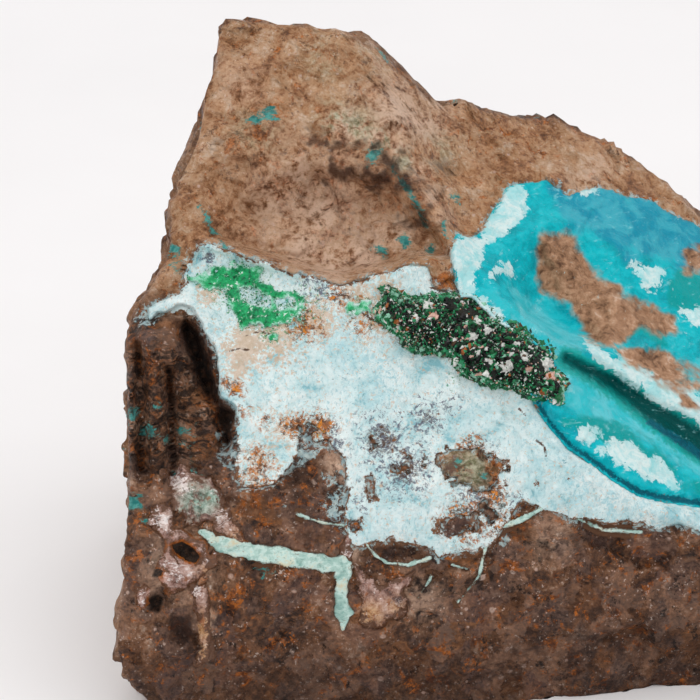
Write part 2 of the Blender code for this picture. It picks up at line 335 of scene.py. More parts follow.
@dataclass(frozen=True)
class ShowPlane:
    """The leaning plane that the front is laid out on, and the eye that looks straight at it.

    Attributes:
        lean: how far it leans back from upright, in radians.
        eye_distance: from the eye to its centre.
        centre: where its centre is.
    """

    lean: float = math.radians(24.0)
    eye_distance: float = 389.0
    centre: Triple = (0, 0, 36.3)

    @property
    def right(self) -> Array:
        """The direction across the plane."""
        return np.array([1.0, 0.0, 0.0])

    @property
    def up(self) -> Array:
        """The direction up the plane."""
        return np.array([0.0, math.sin(self.lean), math.cos(self.lean)])

    @property
    def away(self) -> Array:
        """The direction straight through the plane, away from the eye."""
        return np.array([0.0, math.cos(self.lean), -math.sin(self.lean)])

    @property
    def eye(self) -> Array:
        """Where the eye is."""
        return np.array(self.centre) - self.away * self.eye_distance

    def sight(self, points: Array) -> tuple[Array, Array, Array]:
        """Where each point is seen on the plane: its offsets shrunk by 1 + depth / eye distance.

        Args:
            points: places in millimetres, one row each.

        Returns:
            The places across and up the plane, and the depths beyond it.
        """
        offset = points - np.array(self.centre)
        depth = offset @ self.away
        shrink = 1.0 + depth / self.eye_distance
        return offset @ self.right / shrink, offset @ self.up / shrink, depth

    def place(self, across: Array, up: Array, depth: Array) -> Array:
        """Points seen at places on the plane and at given depths, the reverse of sight.

        Args:
            across, up: places on the show plane.
            depth: depths beyond it.

        Returns:
            The points, one row each.
        """
        stretch = 1.0 + depth / self.eye_distance
        flat = (across * stretch)[:, None] * self.right + (up * stretch)[:, None] * self.up
        return np.array(self.centre) + flat + depth[:, None] * self.away

    def rays(self, points: Array) -> Array:
        """Directions from the eye to each point."""
        return unit_rows(points - self.eye)


@dataclass
class StoneForm:
    """The stone's outer form, shared by the rock and by everything that lies on it.

    Attributes:
        plane: the show plane.
        core: the point inside the block that its surface is measured from.
        sharpness: how sharp the block's edges are.
        faces: the block's flat faces, each a point on it and the way it faces.
        outline: how far the outline stands out at each angle about the core, in degrees.
        scar_count: how many shell-shaped breaks are tried.
        scar_seed: which breaks.
        scar_radii: the least and the greatest radius of the balls that cut them.
        scar_depths: how deep they cut, least and greatest.
        nearest: the depth that a line of sight is followed from.
        beyond_core: how far past the core's depth it is followed.
        halvings: how many times what is left of it is halved.
    """

    plane: ShowPlane = field(default_factory=ShowPlane)
    core: Triple = (14, 20, 24)
    sharpness: float = 40.0
    faces: tuple[tuple[Triple, Triple], ...] = (
        ((0, 0, 36.3), (0.05, -0.913, 0.407)), ((25, -5.5, 19.1), (0.143, -1, -0.031)), ((-23.4, 0, 20),
        (-1, 0.04, 0.02)), ((-23.2, -0.2, 30.9), (-1, 0, 0.3)), ((-5, 30, 53), (-0.05, -0.654, 0.756)),
        ((-5, 36.2, 57.3), (0.10, 0.35, 1)), ((15.8, 25.1, 43.5), (0.484, -0.357, 0.799)), ((38, 37, 36),
        (0.62, 0.05, 0.78)), ((57, 34, 24), (0.68, 0.38, 0.62)), ((0, 40, 56), (0.1, 0.78, 0.6)),
        ((10, 48, 20), (-0.05, 1, 0.08)), ((24, 48, 33), (0.32, 0.86, 0.40)), ((-18, 40, 20),
        (-0.75, 0.65, 0.1)), ((-18.5, 43, 44), (-0.6, 0.7, 0.4)), ((44, 40, 22), (0.55, 0.8, 0.2)),
        ((64, 12, 14), (0.88, -0.1, 0.42)), ((46, -4.5, 12), (0.36, -0.93, 0.05)), ((62, 4, 5),
        (0.75, -0.5, -0.45)), ((58, 32, 6), (0.78, 0.55, -0.3)), ((-22.3, 0, 3), (-0.8, -0.1, -0.6)),
        ((5, 46, 4), (0, 0.8, -0.6)), ((0, 0, -3.2), (0, 0, -1)),
    )
    outline: tuple[Pair, ...] = (
        (-180, 1.02), (-168, 0.985), (-161, 0.975), (-153, 0.98), (-147, 0.982), (-141, 1.02), (-132, 1),
        (-60, 1), (0, 1), (38, 1.04), (47, 1.05), (55, 1.01), (64, 1.015), (72, 0.997), (80, 0.955),
        (88, 0.9), (95, 0.885), (100, 0.885), (103, 0.9), (106, 0.99), (110, 1.02), (118, 1.018),
        (126, 1.027), (130, 1.015), (136, 1), (141, 0.985), (148, 0.984), (154, 0.978), (159, 0.955),
        (163, 0.98), (168, 1.015), (173, 1.037), (180, 1.02),
    )
    scar_count: int = 150
    scar_seed: int = 11
    scar_radii: Pair = (10, 70)
    scar_depths: Pair = (0.4, 1.3)
    nearest: float = -30.0
    beyond_core: float = 12.0
    halvings: int = 16
    bowl: Area = Area((
        (-14.5, 13.5), (-15, 17), (-13.5, 18.5), (-9, 18.5), (-3, 19), (3, 17.5), (7, 14.5), (10, 11),
        (10.5, 8.8), (8.2, 8.8), (6.2, 8.8), (4.6, 8.2), (1.4, 7.5), (-0.5, 6.8), (-3.6, 7.4), (-8.3, 8.8),
        (-12.2, 10.3), (-14.5, 11),
    ))
    shelf: Area = Area((
        *SHELF_LIP, (6.2, 8.8), (4.5, 8.1), (1.4, 7.4), (-0.5, 6.7), (-3.6, 7.3), (-8.3, 8.7),
        (-12.2, 10.2), (-15.3, 10.8), (-16.2, 8.8),
    ))
    shelf_lip: Trail = Trail(SHELF_LIP, 1.0, 1.0)
    hollow: Area = Area((
        (-18.6, 2.4), (-16.4, 3.6), (-14.7, 2), (-13.6, -0.2), (-13, -4.2), (-11.4, -6.2), (-11.2, -9),
        (-12.5, -12), (-15.5, -13.5), (-17.8, -11), (-18.4, -5), (-18.9, 0),
    ), 0.25)
    druse: Area = DRUSE
    island: Area = Area((
        (19, 11.5), (21.5, 11), (24, 8), (28, 5), (32, 2), (33.5, 0), (30, -0.5), (26.5, -1.5), (23.5, 2),
        (20.5, 4), (19.5, 8),
    ), 0.5)
    ribs: tuple[Trail, ...] = (
        Trail(((-15.5, 10.2), (-12.2, 9.9), (-8.3, 8.5), (-3.6, 7.1), (-0.5, 6.5), (4.5, 7.9), (8, 8.6)),
              0.9, 0.9, 0.7),
        Trail(((2, 18), (5.5, 16.5), (9, 12.5), (11, 8.8)), 1.3, 1.3, 1.2),
        Trail(((-19.9, 1), (-19.4, -5), (-19.2, -12.5)), 0.9, 1, 1.5),
        Trail(((-18.1, -2), (-17.8, -8), (-17.7, -13)), 0.45, 0.55, -2),
        Trail(((-21.2, 0.5), (-20.8, -5), (-20.7, -12)), 0.40, 0.5, -1.5),
        Trail(((-22, -2), (-21.7, -14)), 0.5, 0.6, 0.7),
        Trail(((-16.9, -1), (-15.4, -5), (-14.9, -10)), 0.35, 0.45, -0.5),
        Trail(((-19, -24), (-18.8, -27)), 0.5, 0.5, -0.8),
        Trail(((-14.6, -24.5), (-14.3, -27.5), (-13.9, -30.8)), 0.9, 0.8, 1),
        Trail(((-18.6, -26), (-16.5, -25.2), (-14.8, -24.6)), 0.7, 0.6, 0.6),
        Trail(((21.5, -0.8), (26.3, -3.4), (30.5, -6.4), (35, -9.4), (48, -16.5)), 0.5, 1.7, -1.7),
        Trail(((23, 1), (27, -1.4), (31.5, -3.9), (35, -6.4), (48, -13.5)), 0.9, 1.5, 1),
        Trail(((20, -5.6), (24.5, -7.4), (29, -9.2), (34, -12.6), (46, -18)), 0.6, 0.8, 0.45),
        Trail(SEAM, 0.45, 0.6, -0.9),
        Trail(((30.5, -16.2), (35, -17.2), (46, -20.6)), 0.9, 1.1, 0.8),
        Trail(((-5.5, -9), (-1.6, -10.2), (-0.6, -14), (-0.2, -19)), 0.5, 0.5, 0.35),
    )
    knobs: tuple[Spot, ...] = tuple(Spot((x, y), radius, height) for x, y, radius, height in (
        (-16.9, -20, 0.8, -1.2), (-15.8, -20.7, 0.7, -1), (-19.5, -25.4, 0.8, -1.2), (-17, -27.2, 1.5, -1.3),
        (-16.6, -29, 1.1, -0.9), (-12, -18.4, 1.5, 0.6), (4.2, -26, 1.4, 0.5), (5.2, -25.4, 0.6, -0.7),
        (-17, -15, 1.8, 1.2), (-13.6, -17.2, 1.3, 0.9), (-18.6, -22.8, 1.5, 0.8), (12, -12, 2.6, 0.7),
        (-6, -13, 3.2, 0.8), (4.6, -20.2, 2.4, -0.5), (3, -25.5, 2, 0.6), (30, -21, 3.5, -0.8),
        (16, -26, 3.5, 0.7), (-11.5, 23.5, 3, 0.8), (-2, 26.5, 3.5, -0.8), (7, 23, 2.8, 0.7),
        (15.7, 0.6, 0.6, -1), (10.8, -17.4, 1.3, -0.4), (-18, 8, 1.6, 0.5), (-10.2, -14.8, 1.2, 0.5),
        (3.5, 14, 1.7, -0.8), (-4.5, 13, 1.5, 0.5), (8, -26, 1.6, -0.5), (24, -21.5, 1.8, 0.6),
        (-3.5, -29, 2.4, -0.5),
    ))
    tongue: tuple[Trail, Trail] = (
        Trail(((-18.2, 2), (-17.4, -0.6), (-16.2, -4.2), (-15.4, -6)), 1.4, 1.8, 5, 3.2),
        Trail(((-15.3, -6.6), (-14.9, -12)), 2.5, 3, 5, 3.2),
    )

    def __post_init__(self) -> None:
        """Work out the faces' normals and distances, and where the breaks are."""
        self._normals = np.array([unit(normal) for _, normal in self.faces])
        points = np.array([point for point, _ in self.faces])
        self._reach = ((points - np.array(self.core)) * self._normals).sum(axis=1)
        rng = np.random.default_rng(self.scar_seed)
        directions = unit_rows(rng.normal(size=(self.scar_count, 3)))
        directions = directions[directions @ self.plane.away > -0.25]
        count = len(directions)
        spots = np.array(self.core) + directions * self.block_radius(directions)[:, None]
        normals = self._normals[np.argmax(directions @ self._normals.T / self._reach, axis=1)]
        self._scar_radii = np.exp(rng.uniform(*np.log(self.scar_radii), size=count))
        normals = unit_rows(normals + 3.0 / self._scar_radii[:, None] * rng.normal(size=(count, 3)))
        depths = rng.uniform(*self.scar_depths, size=count)
        self._scar_middles = spots + normals * (self._scar_radii - depths)[:, None]

    def face_share(self, directions: Array) -> Array:
        """How near each flat face is to being the one met in each direction, from 0 upwards."""
        return (np.maximum(directions @ self._normals.T, 0.0) / self._reach) ** self.sharpness

    def block_radius(self, directions: Array) -> Array:
        """Distance from the core to the block: the faces' distances joined by a high power's mean."""
        return self.face_share(directions).sum(axis=1) ** (-1.0 / self.sharpness)

    def radius(self, directions: Array) -> Array:
        """Distance from the core to the stone: the block with slow swells, less its deepest break.

        Args:
            directions: unit directions from the core, one row each.

        Returns:
            The distances.
        """
        block = self.block_radius(directions)
        points = np.array(self.core) + directions * block[:, None]
        deepest = np.zeros(len(points))
        for middle, ball in zip(self._scar_middles, self._scar_radii):
            deepest = np.maximum(deepest, ball - np.linalg.norm(points - middle, axis=1))
        return block + 0.8 * fractal(points, 16.0, 3, 5) - deepest

    def facing(self, directions: Array) -> Array:
        """1 where the block's surface looks towards the eye, easing to 0 where it is seen edge on."""
        share = self.face_share(directions)
        normals = unit_rows((share / share.sum(axis=1)[:, None]) @ self._normals)
        return smooth(-(normals @ self.plane.away), 0.12, 0.5)

    def outline_factor(self, across: Array, up: Array) -> Array:
        """How far the outline stands out at the angle of each place about the core."""
        angle = np.degrees(np.arctan2(up, across))
        knots, ratios = np.array(self.outline, float).T
        turned = [(angle + turn + 180.0) % 360.0 - 180.0 for turn in (-3, -1.5, 0, 1.5, 3)]
        return sum(np.interp(turn, knots, ratios) for turn in turned) / len(turned)

    def core_sight(self) -> tuple[float, float, float]:
        """Where the core is seen on the show plane, and its depth."""
        across, up, depth = self.plane.sight(np.array([self.core]))
        return float(across[0]), float(up[0]), float(depth[0])

    def outlined(self, points: Array) -> Array:
        """Move points across the line of sight so that the block takes the stone's own outline.

        Each place's offset from the core's is scaled by the outline's factor, and its depth is kept.

        Args:
            points: the block's points, one row each.

        Returns:
            The moved points.
        """
        across, up, depth = self.plane.sight(points)
        core_across, core_up, _ = self.core_sight()
        factor = self.outline_factor(across - core_across, up - core_up)
        across = core_across + (across - core_across) * factor
        up = core_up + (up - core_up) * factor
        return self.plane.place(across, up, depth)

    def surface_depth(self, across: Array, up: Array) -> Array:
        """Depth of the stone's surface along each line of sight, found by halving.

        The line is followed from in front of the stone to past the core. Half of what is left is
        dropped each time, by whether the middle is further from the core than the stone's radius.

        Args:
            across, up: places on the show plane.

        Returns:
            The depths beyond the show plane.
        """
        core_across, core_up, core_depth = self.core_sight()
        factor = self.outline_factor(across - core_across, up - core_up)
        across = core_across + (across - core_across) / factor
        up = core_up + (up - core_up) / factor
        near = np.full(len(across), self.nearest)
        far = np.full(len(across), core_depth + self.beyond_core)
        for _ in range(self.halvings):
            middle = (near + far) / 2.0
            offset = self.plane.place(across, up, middle) - np.array(self.core)
            distance = np.linalg.norm(offset, axis=1)
            outside = distance > self.radius(offset / distance[:, None])
            near = np.where(outside, middle, near)
            far = np.where(outside, far, middle)
        return (near + far) / 2.0

    def tongue_height(self, across: Array, up: Array) -> Array:
        """How far the tongue stands up out of the hollow's floor."""
        return np.maximum(*(part.rib(across, up) for part in self.tongue))

    def relief(self, across: Array, up: Array) -> Array:
        """How far the front stands out towards the eye: areas eased in, and bells on lines and spots.

        Args:
            across, up: places on the show plane.

        Returns:
            The heights, negative where the front is pushed in.
        """
        bowl = self.bowl.depth(across, up)
        sharp_edge = smooth(bowl, 0.0, 1.3)
        soft_edge = smooth(bowl, -0.4, 2.4 + 3.0 * smooth(-across, 3.0, 9.0))
        brow = smooth(up, 9.5, 13.0)
        height = -(4.4 - 0.05 * (up - 7.0)) * (sharp_edge * (1.0 - brow) + soft_edge * brow)
        lip = np.minimum(self.shelf_lip.reach(across, up)[0], 4.0)
        height -= smooth(self.shelf.depth(across, up), 0.0, 1.0) * 0.35 * lip
        hollow = self.hollow.depth(across, up)
        right_side = smooth(across, -18.0, -15.5)
        walls = smooth(hollow, -0.1, 1.7) * right_side + smooth(hollow, 0.0, 2.6) * (1.0 - right_side)
        height -= (5.6 - self.tongue_height(across, up)) * walls
        height += 2.6 * np.sqrt(np.clip(self.druse.depth(across, up) / 3.2, 0.0, 1.0))
        height += 0.9 * smooth(self.island.depth(across, up), -0.2, 1.2)
        for rib in self.ribs:
            height += rib.rib(across, up)
        for knob in self.knobs:
            height += knob.bell(across, up)
        height += 0.30 * fractal(flat_points(across, up), 3.4, 3, 71)
        return height + 0.25 * fractal(flat_points(across, up, 9.0), 4.0, 3, 11)

    def ball(self, cells: int) -> tuple[Array, Array]:
        """Directions and four-sided cells of a cube blown up to a ball, crowded towards the front left.

        Each side's grid runs by the tangent of equal angles. The corners that sides share are merged,
        and the ball is stretched along the stone and moved before its points become directions.

        Args:
            cells: how many cells a side of the cube has.

        Returns:
            The unit directions, and the corner numbers of each cell.
        """
        steps = np.tan(np.linspace(-1.0, 1.0, cells + 1) * math.pi / 4.0)
        u, v = np.meshgrid(steps, steps, indexing="ij")
        one = np.ones_like(u)
        sides = [(one, u, v), (-one, v, u), (v, one, u), (u, -one, v), (u, v, one), (v, u, -one)]
        points = np.concatenate([np.stack([c.ravel() for c in side], axis=1) for side in sides])
        keys = np.round(points * 1e6).astype(np.int64)
        _, first, index = np.unique(keys, axis=0, return_index=True, return_inverse=True)
        quads = np.concatenate([grid_quads(cells + 1, cells + 1) + s * (cells + 1) ** 2 for s in range(6)])
        points = unit_rows(points[first]) * (1.4, 1, 1) + (-0.35, -0.5, 0.22)
        return unit_rows(points), index.reshape(-1)[quads]


# ---- meshes ----


def grid_quads(rows: int, columns: int) -> Array:
    """The corner numbers of each cell of a grid whose points are numbered row by row."""
    corner = np.arange(rows * columns).reshape(rows, columns)
    ring = (corner[:-1, :-1], corner[1:, :-1], corner[1:, 1:], corner[:-1, 1:])
    return np.stack(ring, axis=-1).reshape(-1, 4)


def closed_shell(top: Array, bottom: Array, quads: Array) -> tuple[Array, Array]:
    """Close a sheet and the same sheet sunk below it into one shell, with walls along the free edges.

    A free edge is one whose reverse belongs to no other cell.

    Args:
        top: the upper sheet's points.
        bottom: the lower sheet's points, in the same order.
        quads: the sheet's cells.

    Returns:
        The shell's points and its four-sided cells.
    """
    edges = np.concatenate([quads[:, [n, (n + 1) % 4]] for n in range(4)])
    count = len(top)
    forward = edges[:, 0] * count + edges[:, 1]
    backward = edges[:, 1] * count + edges[:, 0]
    free = edges[~np.isin(forward, backward)]
    walls = np.stack([free[:, 1], free[:, 0], free[:, 0] + count, free[:, 1] + count], axis=1)
    cells = np.concatenate([quads, quads[:, ::-1] + count, walls])
    return np.concatenate([top, bottom]), cells


def linked(name: str, data: bpy.types.ID) -> bpy.types.Object:
    """A new object with its data, put into the scene."""
    thing = bpy.data.objects.new(name, data)
    bpy.context.scene.collection.objects.link(thing)
    return thing


def make_piece(
    name: str,
    points: Array,
    faces: Array,
    material: bpy.types.Material,
    marks: dict[str, Array] | None = None,
    rounded: bool = True,
) -> bpy.types.Object:
    """Put worked-out points and faces into a named piece that rides on the stone.

    Args:
        name: the piece's name.
        points: its points in millimetres, on the show plane's origin.
        faces: corner numbers, every face with as many corners.
        material: its finish.
        marks: a value at each point for each named attribute.
        rounded: whether it is shaded smooth.

    Returns:
        The new object.
    """
    mesh = bpy.data.meshes.new(name)
    sides = faces.shape[1]
    mesh.vertices.add(len(points))
    mesh.vertices.foreach_set("co", ((points - np.array(FOOTPRINT_MIDDLE)) * MM).ravel())
    mesh.loops.add(faces.size)
    mesh.loops.foreach_set("vertex_index", faces.ravel().astype(np.int32))
    mesh.polygons.add(len(faces))
    mesh.polygons.foreach_set("loop_start", np.arange(0, faces.size, sides, dtype=np.int32))
    mesh.polygons.foreach_set("use_smooth", np.full(len(faces), rounded))
    for mark, values in (marks or {}).items():
        mesh.attributes.new(mark, "FLOAT", "POINT").data.foreach_set("value", values.astype(np.float32))
    mesh.update(calc_edges=True)
    mesh.validate()
    mesh.materials.append(material)
    piece = linked(name, mesh)
    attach(piece, ROOT_BODY)
    LOG.info("%s: %d points, %d faces", name, len(points), len(faces))
    return piece


# ---- finishes ----


class Blend(Enum):
    """How a colour ramp runs between its stops."""

    STRAIGHT = "LINEAR"
    STEPPED = "CONSTANT"


Socket = bpy.types.NodeSocket
Colour = tuple[float, float, float, float]


class Finish:
    """A material's node tree, with short names for the nodes that the finishes are made of."""

    def __init__(self, name: str, roughness: float, specular: float = 0.5) -> None:
        """Start a material with its shader's even values.

        Args:
            name: the material's name.
            roughness: the shader's roughness.
            specular: the shader's specular level.
        """
        self.material = bpy.data.materials.new(name)
        self.material.use_nodes = True
        self.tree = self.material.node_tree
        self.shader = self.tree.nodes["Principled BSDF"]
        self.shader.inputs["Roughness"].default_value = roughness
        self.shader.inputs["Specular IOR Level"].default_value = specular
        self.place = self.tree.nodes.new("ShaderNodeTexCoord").outputs["Object"]
        self.colour: Socket | Colour = (1, 1, 1, 1)

    def _feed(self, socket: Socket, value: Socket | float | Colour) -> None:
        """Link a socket to another, or set its own value."""
        if isinstance(value, bpy.types.NodeSocket):
            self.tree.links.new(value, socket)
        else:
            socket.default_value = value

    def noise(self, size: float, detail: float = 4.0, rough: float = 0.6, twist: float = 0.0,
              shift: float = 0.0, squeeze: Triple | None = None) -> Socket:
        """Cloudy noise in three directions.

        Args:
            size: the length of its largest swells.
            detail: how many octaves it has.
            rough: how strong each octave is beside the one before.
            twist: how far it is distorted.
            shift: moves it, so that two noises differ.
            squeeze: how many times finer it is along each axis, where it isn't alike in all.

        Returns:
            The value, about 0.3 to 0.7.
        """
        node = self.tree.nodes.new("ShaderNodeTexNoise")
        node.noise_dimensions = "4D"
        node.inputs["W"].default_value = shift
        node.inputs["Scale"].default_value = 1.0 / (size * MM)
        node.inputs["Detail"].default_value = detail
        node.inputs["Roughness"].default_value = rough
        node.inputs["Distortion"].default_value = twist
        place = self.place
        if squeeze is not None:
            mapping = self.tree.nodes.new("ShaderNodeMapping")
            mapping.inputs["Scale"].default_value = squeeze
            self._feed(mapping.inputs["Vector"], place)
            place = mapping.outputs["Vector"]
        self._feed(node.inputs["Vector"], place)
        return node.outputs["Fac"]

    def cells(self, size: float, shift: float = 0.0, wobble: float = 0.0) -> tuple[Socket, Socket]:
        """Scattered cells.

        Args:
            size: the spacing of their middles.
            shift: moves them, so that two sets differ.
            wobble: how far a noise moves their borders.

        Returns:
            The distance to the nearest middle, and a colour that differs from cell to cell.
        """
        node = self.tree.nodes.new("ShaderNodeTexVoronoi")
        node.inputs["Scale"].default_value = 1.0 / (size * MM)
        moved = self.tree.nodes.new("ShaderNodeMapping")
        moved.inputs["Location"].default_value = (shift * size * MM,) * 3
        self._feed(moved.inputs["Vector"], self.place)
        place = moved.outputs["Vector"]
        if wobble:
            warp = self.noise(size * 0.6, 6.0, 0.65, 0.0, shift).node.outputs["Color"]
            move = self.tree.nodes.new("ShaderNodeVectorMath")
            move.operation = "MULTIPLY_ADD"
            self._feed(move.inputs[0], warp)
            move.inputs[1].default_value = (4.0 * wobble * MM,) * 3
            self._feed(move.inputs[2], place)
            place = move.outputs["Vector"]
        self._feed(node.inputs["Vector"], place)
        return node.outputs["Distance"], node.outputs["Color"]

    def mark(self, name: str) -> Socket:
        """The value of one of the mesh's own attributes."""
        node = self.tree.nodes.new("ShaderNodeAttribute")
        node.attribute_name = name
        return node.outputs["Fac"]

    def sum(self, first: Socket | float, second: Socket | float, kind: str = "ADD") -> Socket:
        """Two values added, or joined by another of the Math node's operations."""
        node = self.tree.nodes.new("ShaderNodeMath")
        node.operation = kind
        self._feed(node.inputs[0], first)
        self._feed(node.inputs[1], second)
        return node.outputs[0]

    def times(self, first: Socket | float, second: Socket | float) -> Socket:
        """Two values multiplied."""
        return self.sum(first, second, "MULTIPLY")

    def blend(self, first: Socket, share: float, second: Socket) -> Socket:
        """Two values joined, the first by a share and the second by the rest."""
        return self.sum(self.times(first, share), self.times(second, 1.0 - share))

    def swing(self, noise: Socket, reach: float) -> Socket:
        """A noise about nought, its whole range being reach."""
        return self.times(self.sum(noise, -0.5), reach)

    def ease(self, value: Socket, low: float, high: float, top: float = 1.0) -> Socket:
        """Ease from 0 to top as a value runs from low to high."""
        node = self.tree.nodes.new("ShaderNodeMapRange")
        node.interpolation_type = "SMOOTHSTEP"
        self._feed(node.inputs["Value"], value)
        for socket, number in (("From Min", low), ("From Max", high), ("To Min", 0.0), ("To Max", top)):
            node.inputs[socket].default_value = number
        return node.outputs["Result"]

    def ramp(self, value: Socket, stops: list[tuple[float, Colour]], blend: Blend = Blend.STRAIGHT) -> Socket:
        """A colour for each value.

        Args:
            value: what the ramp is read by.
            stops: the places along it, each with its colour.
            blend: how it runs between them.

        Returns:
            The colour.
        """
        node = self.tree.nodes.new("ShaderNodeValToRGB")
        node.color_ramp.interpolation = blend.value
        elements = node.color_ramp.elements
        elements[0].position, elements[0].color = stops[0]
        elements[1].position, elements[1].color = stops[-1]
        for position, colour in stops[1:-1]:
            elements.new(position).color = colour
        self._feed(node.inputs["Fac"], value)
        return node.outputs["Color"]

    def mix(self, share: Socket | float, first: Socket | Colour, second: Socket | Colour,
            kind: str = "MIX") -> Socket:
        """One colour giving way to another by a share.

        Args:
            share: 0 for the first colour, 1 for the second.
            first: the colour underneath.
            second: the colour on top.
            kind: another of the Mix node's ways of blending.

        Returns:
            The mixed colour.
        """
        node = self.tree.nodes.new("ShaderNodeMix")
        node.data_type = "RGBA"
        node.blend_type = kind
        self._feed(node.inputs["Factor"], share)
        self._feed(node.inputs[6], first)
        self._feed(node.inputs[7], second)
        return node.outputs[2]

    def patch(self, mark: str, ragged: Socket, wander: float, soft: float = 0.15) -> Socket:
        """A share that is 1 inside a marked border which wanders by a noise.

        Args:
            mark: the attribute that holds the distance inside the border.
            ragged: the noise that it wanders by.
            wander: how far it wanders, in millimetres, over the noise's whole range.
            soft: how wide the border's easing is.

        Returns:
            The share.
        """
        return self.ease(self.sum(self.mark(mark), self.swing(ragged, wander)), -soft, soft)

    def specks(self, size: float, most: float, shift: float = 0.0) -> Socket:
        """Round specks scattered at random, each with its own size.

        Args:
            size: the spacing of the cells that they lie in.
            most: the largest speck's radius, as a share of the spacing.
            shift: moves them, so that two sets differ.

        Returns:
            The share, 1 in the middle of a speck.
        """
        distance, number = self.cells(size, shift)
        room = self.sum(self.ease(number, 0.42, 0.80, most), distance, "SUBTRACT")
        return self.ease(room, 0.0, 0.08)

    def lay(self, share: Socket | float, paint: Socket | Colour, kind: str = "MIX") -> None:
        """Lay a paint over the colour so far, by a share."""
        self.colour = self.mix(share, self.colour, paint, kind)

    def bare(self, under: Socket | Colour, reach: float, wander: float, size: float) -> None:
        """Let what lies under a skin show through near its border, in ragged spots.

        Args:
            under: the colour below it.
            reach: how far inside the border it shows on average, in millimetres.
            wander: how far that differs from place to place.
            size: the length of its wandering.
        """
        ragged = self.swing(self.noise(size, 8.0, 0.78, 0.5, 33.0), wander * 4.0)
        self.lay(self.ease(self.sum(self.mark("cover"), ragged), reach + 0.06, reach - 0.06), under)

    def bump(self, height: Socket, rise: float, under: Socket | None = None) -> Socket:
        """A normal bent by a height from 0 to 1.

        Args:
            height: the height.
            rise: what a height of 1 stands for, in millimetres.
            under: a bump that this one is laid over.

        Returns:
            The bent normal.
        """
        node = self.tree.nodes.new("ShaderNodeBump")
        node.inputs["Distance"].default_value = rise * MM
        self._feed(node.inputs["Height"], height)
        if under is not None:
            self._feed(node.inputs["Normal"], under)
        return node.outputs["Normal"]

    def dress(self, normal: Socket, roughness: Socket | None = None) -> bpy.types.Material:
        """Give the shader the colour so far, a bent normal and, where it varies, a roughness."""
        self._feed(self.shader.inputs["Base Color"], self.colour)
        self._feed(self.shader.inputs["Normal"], normal)
        if roughness is not None:
            self._feed(self.shader.inputs["Roughness"], roughness)
        return self.material


class Look:
    """What a piece is finished with."""

    def material(self) -> bpy.types.Material:
        """The piece's material."""
        raise NotImplementedError


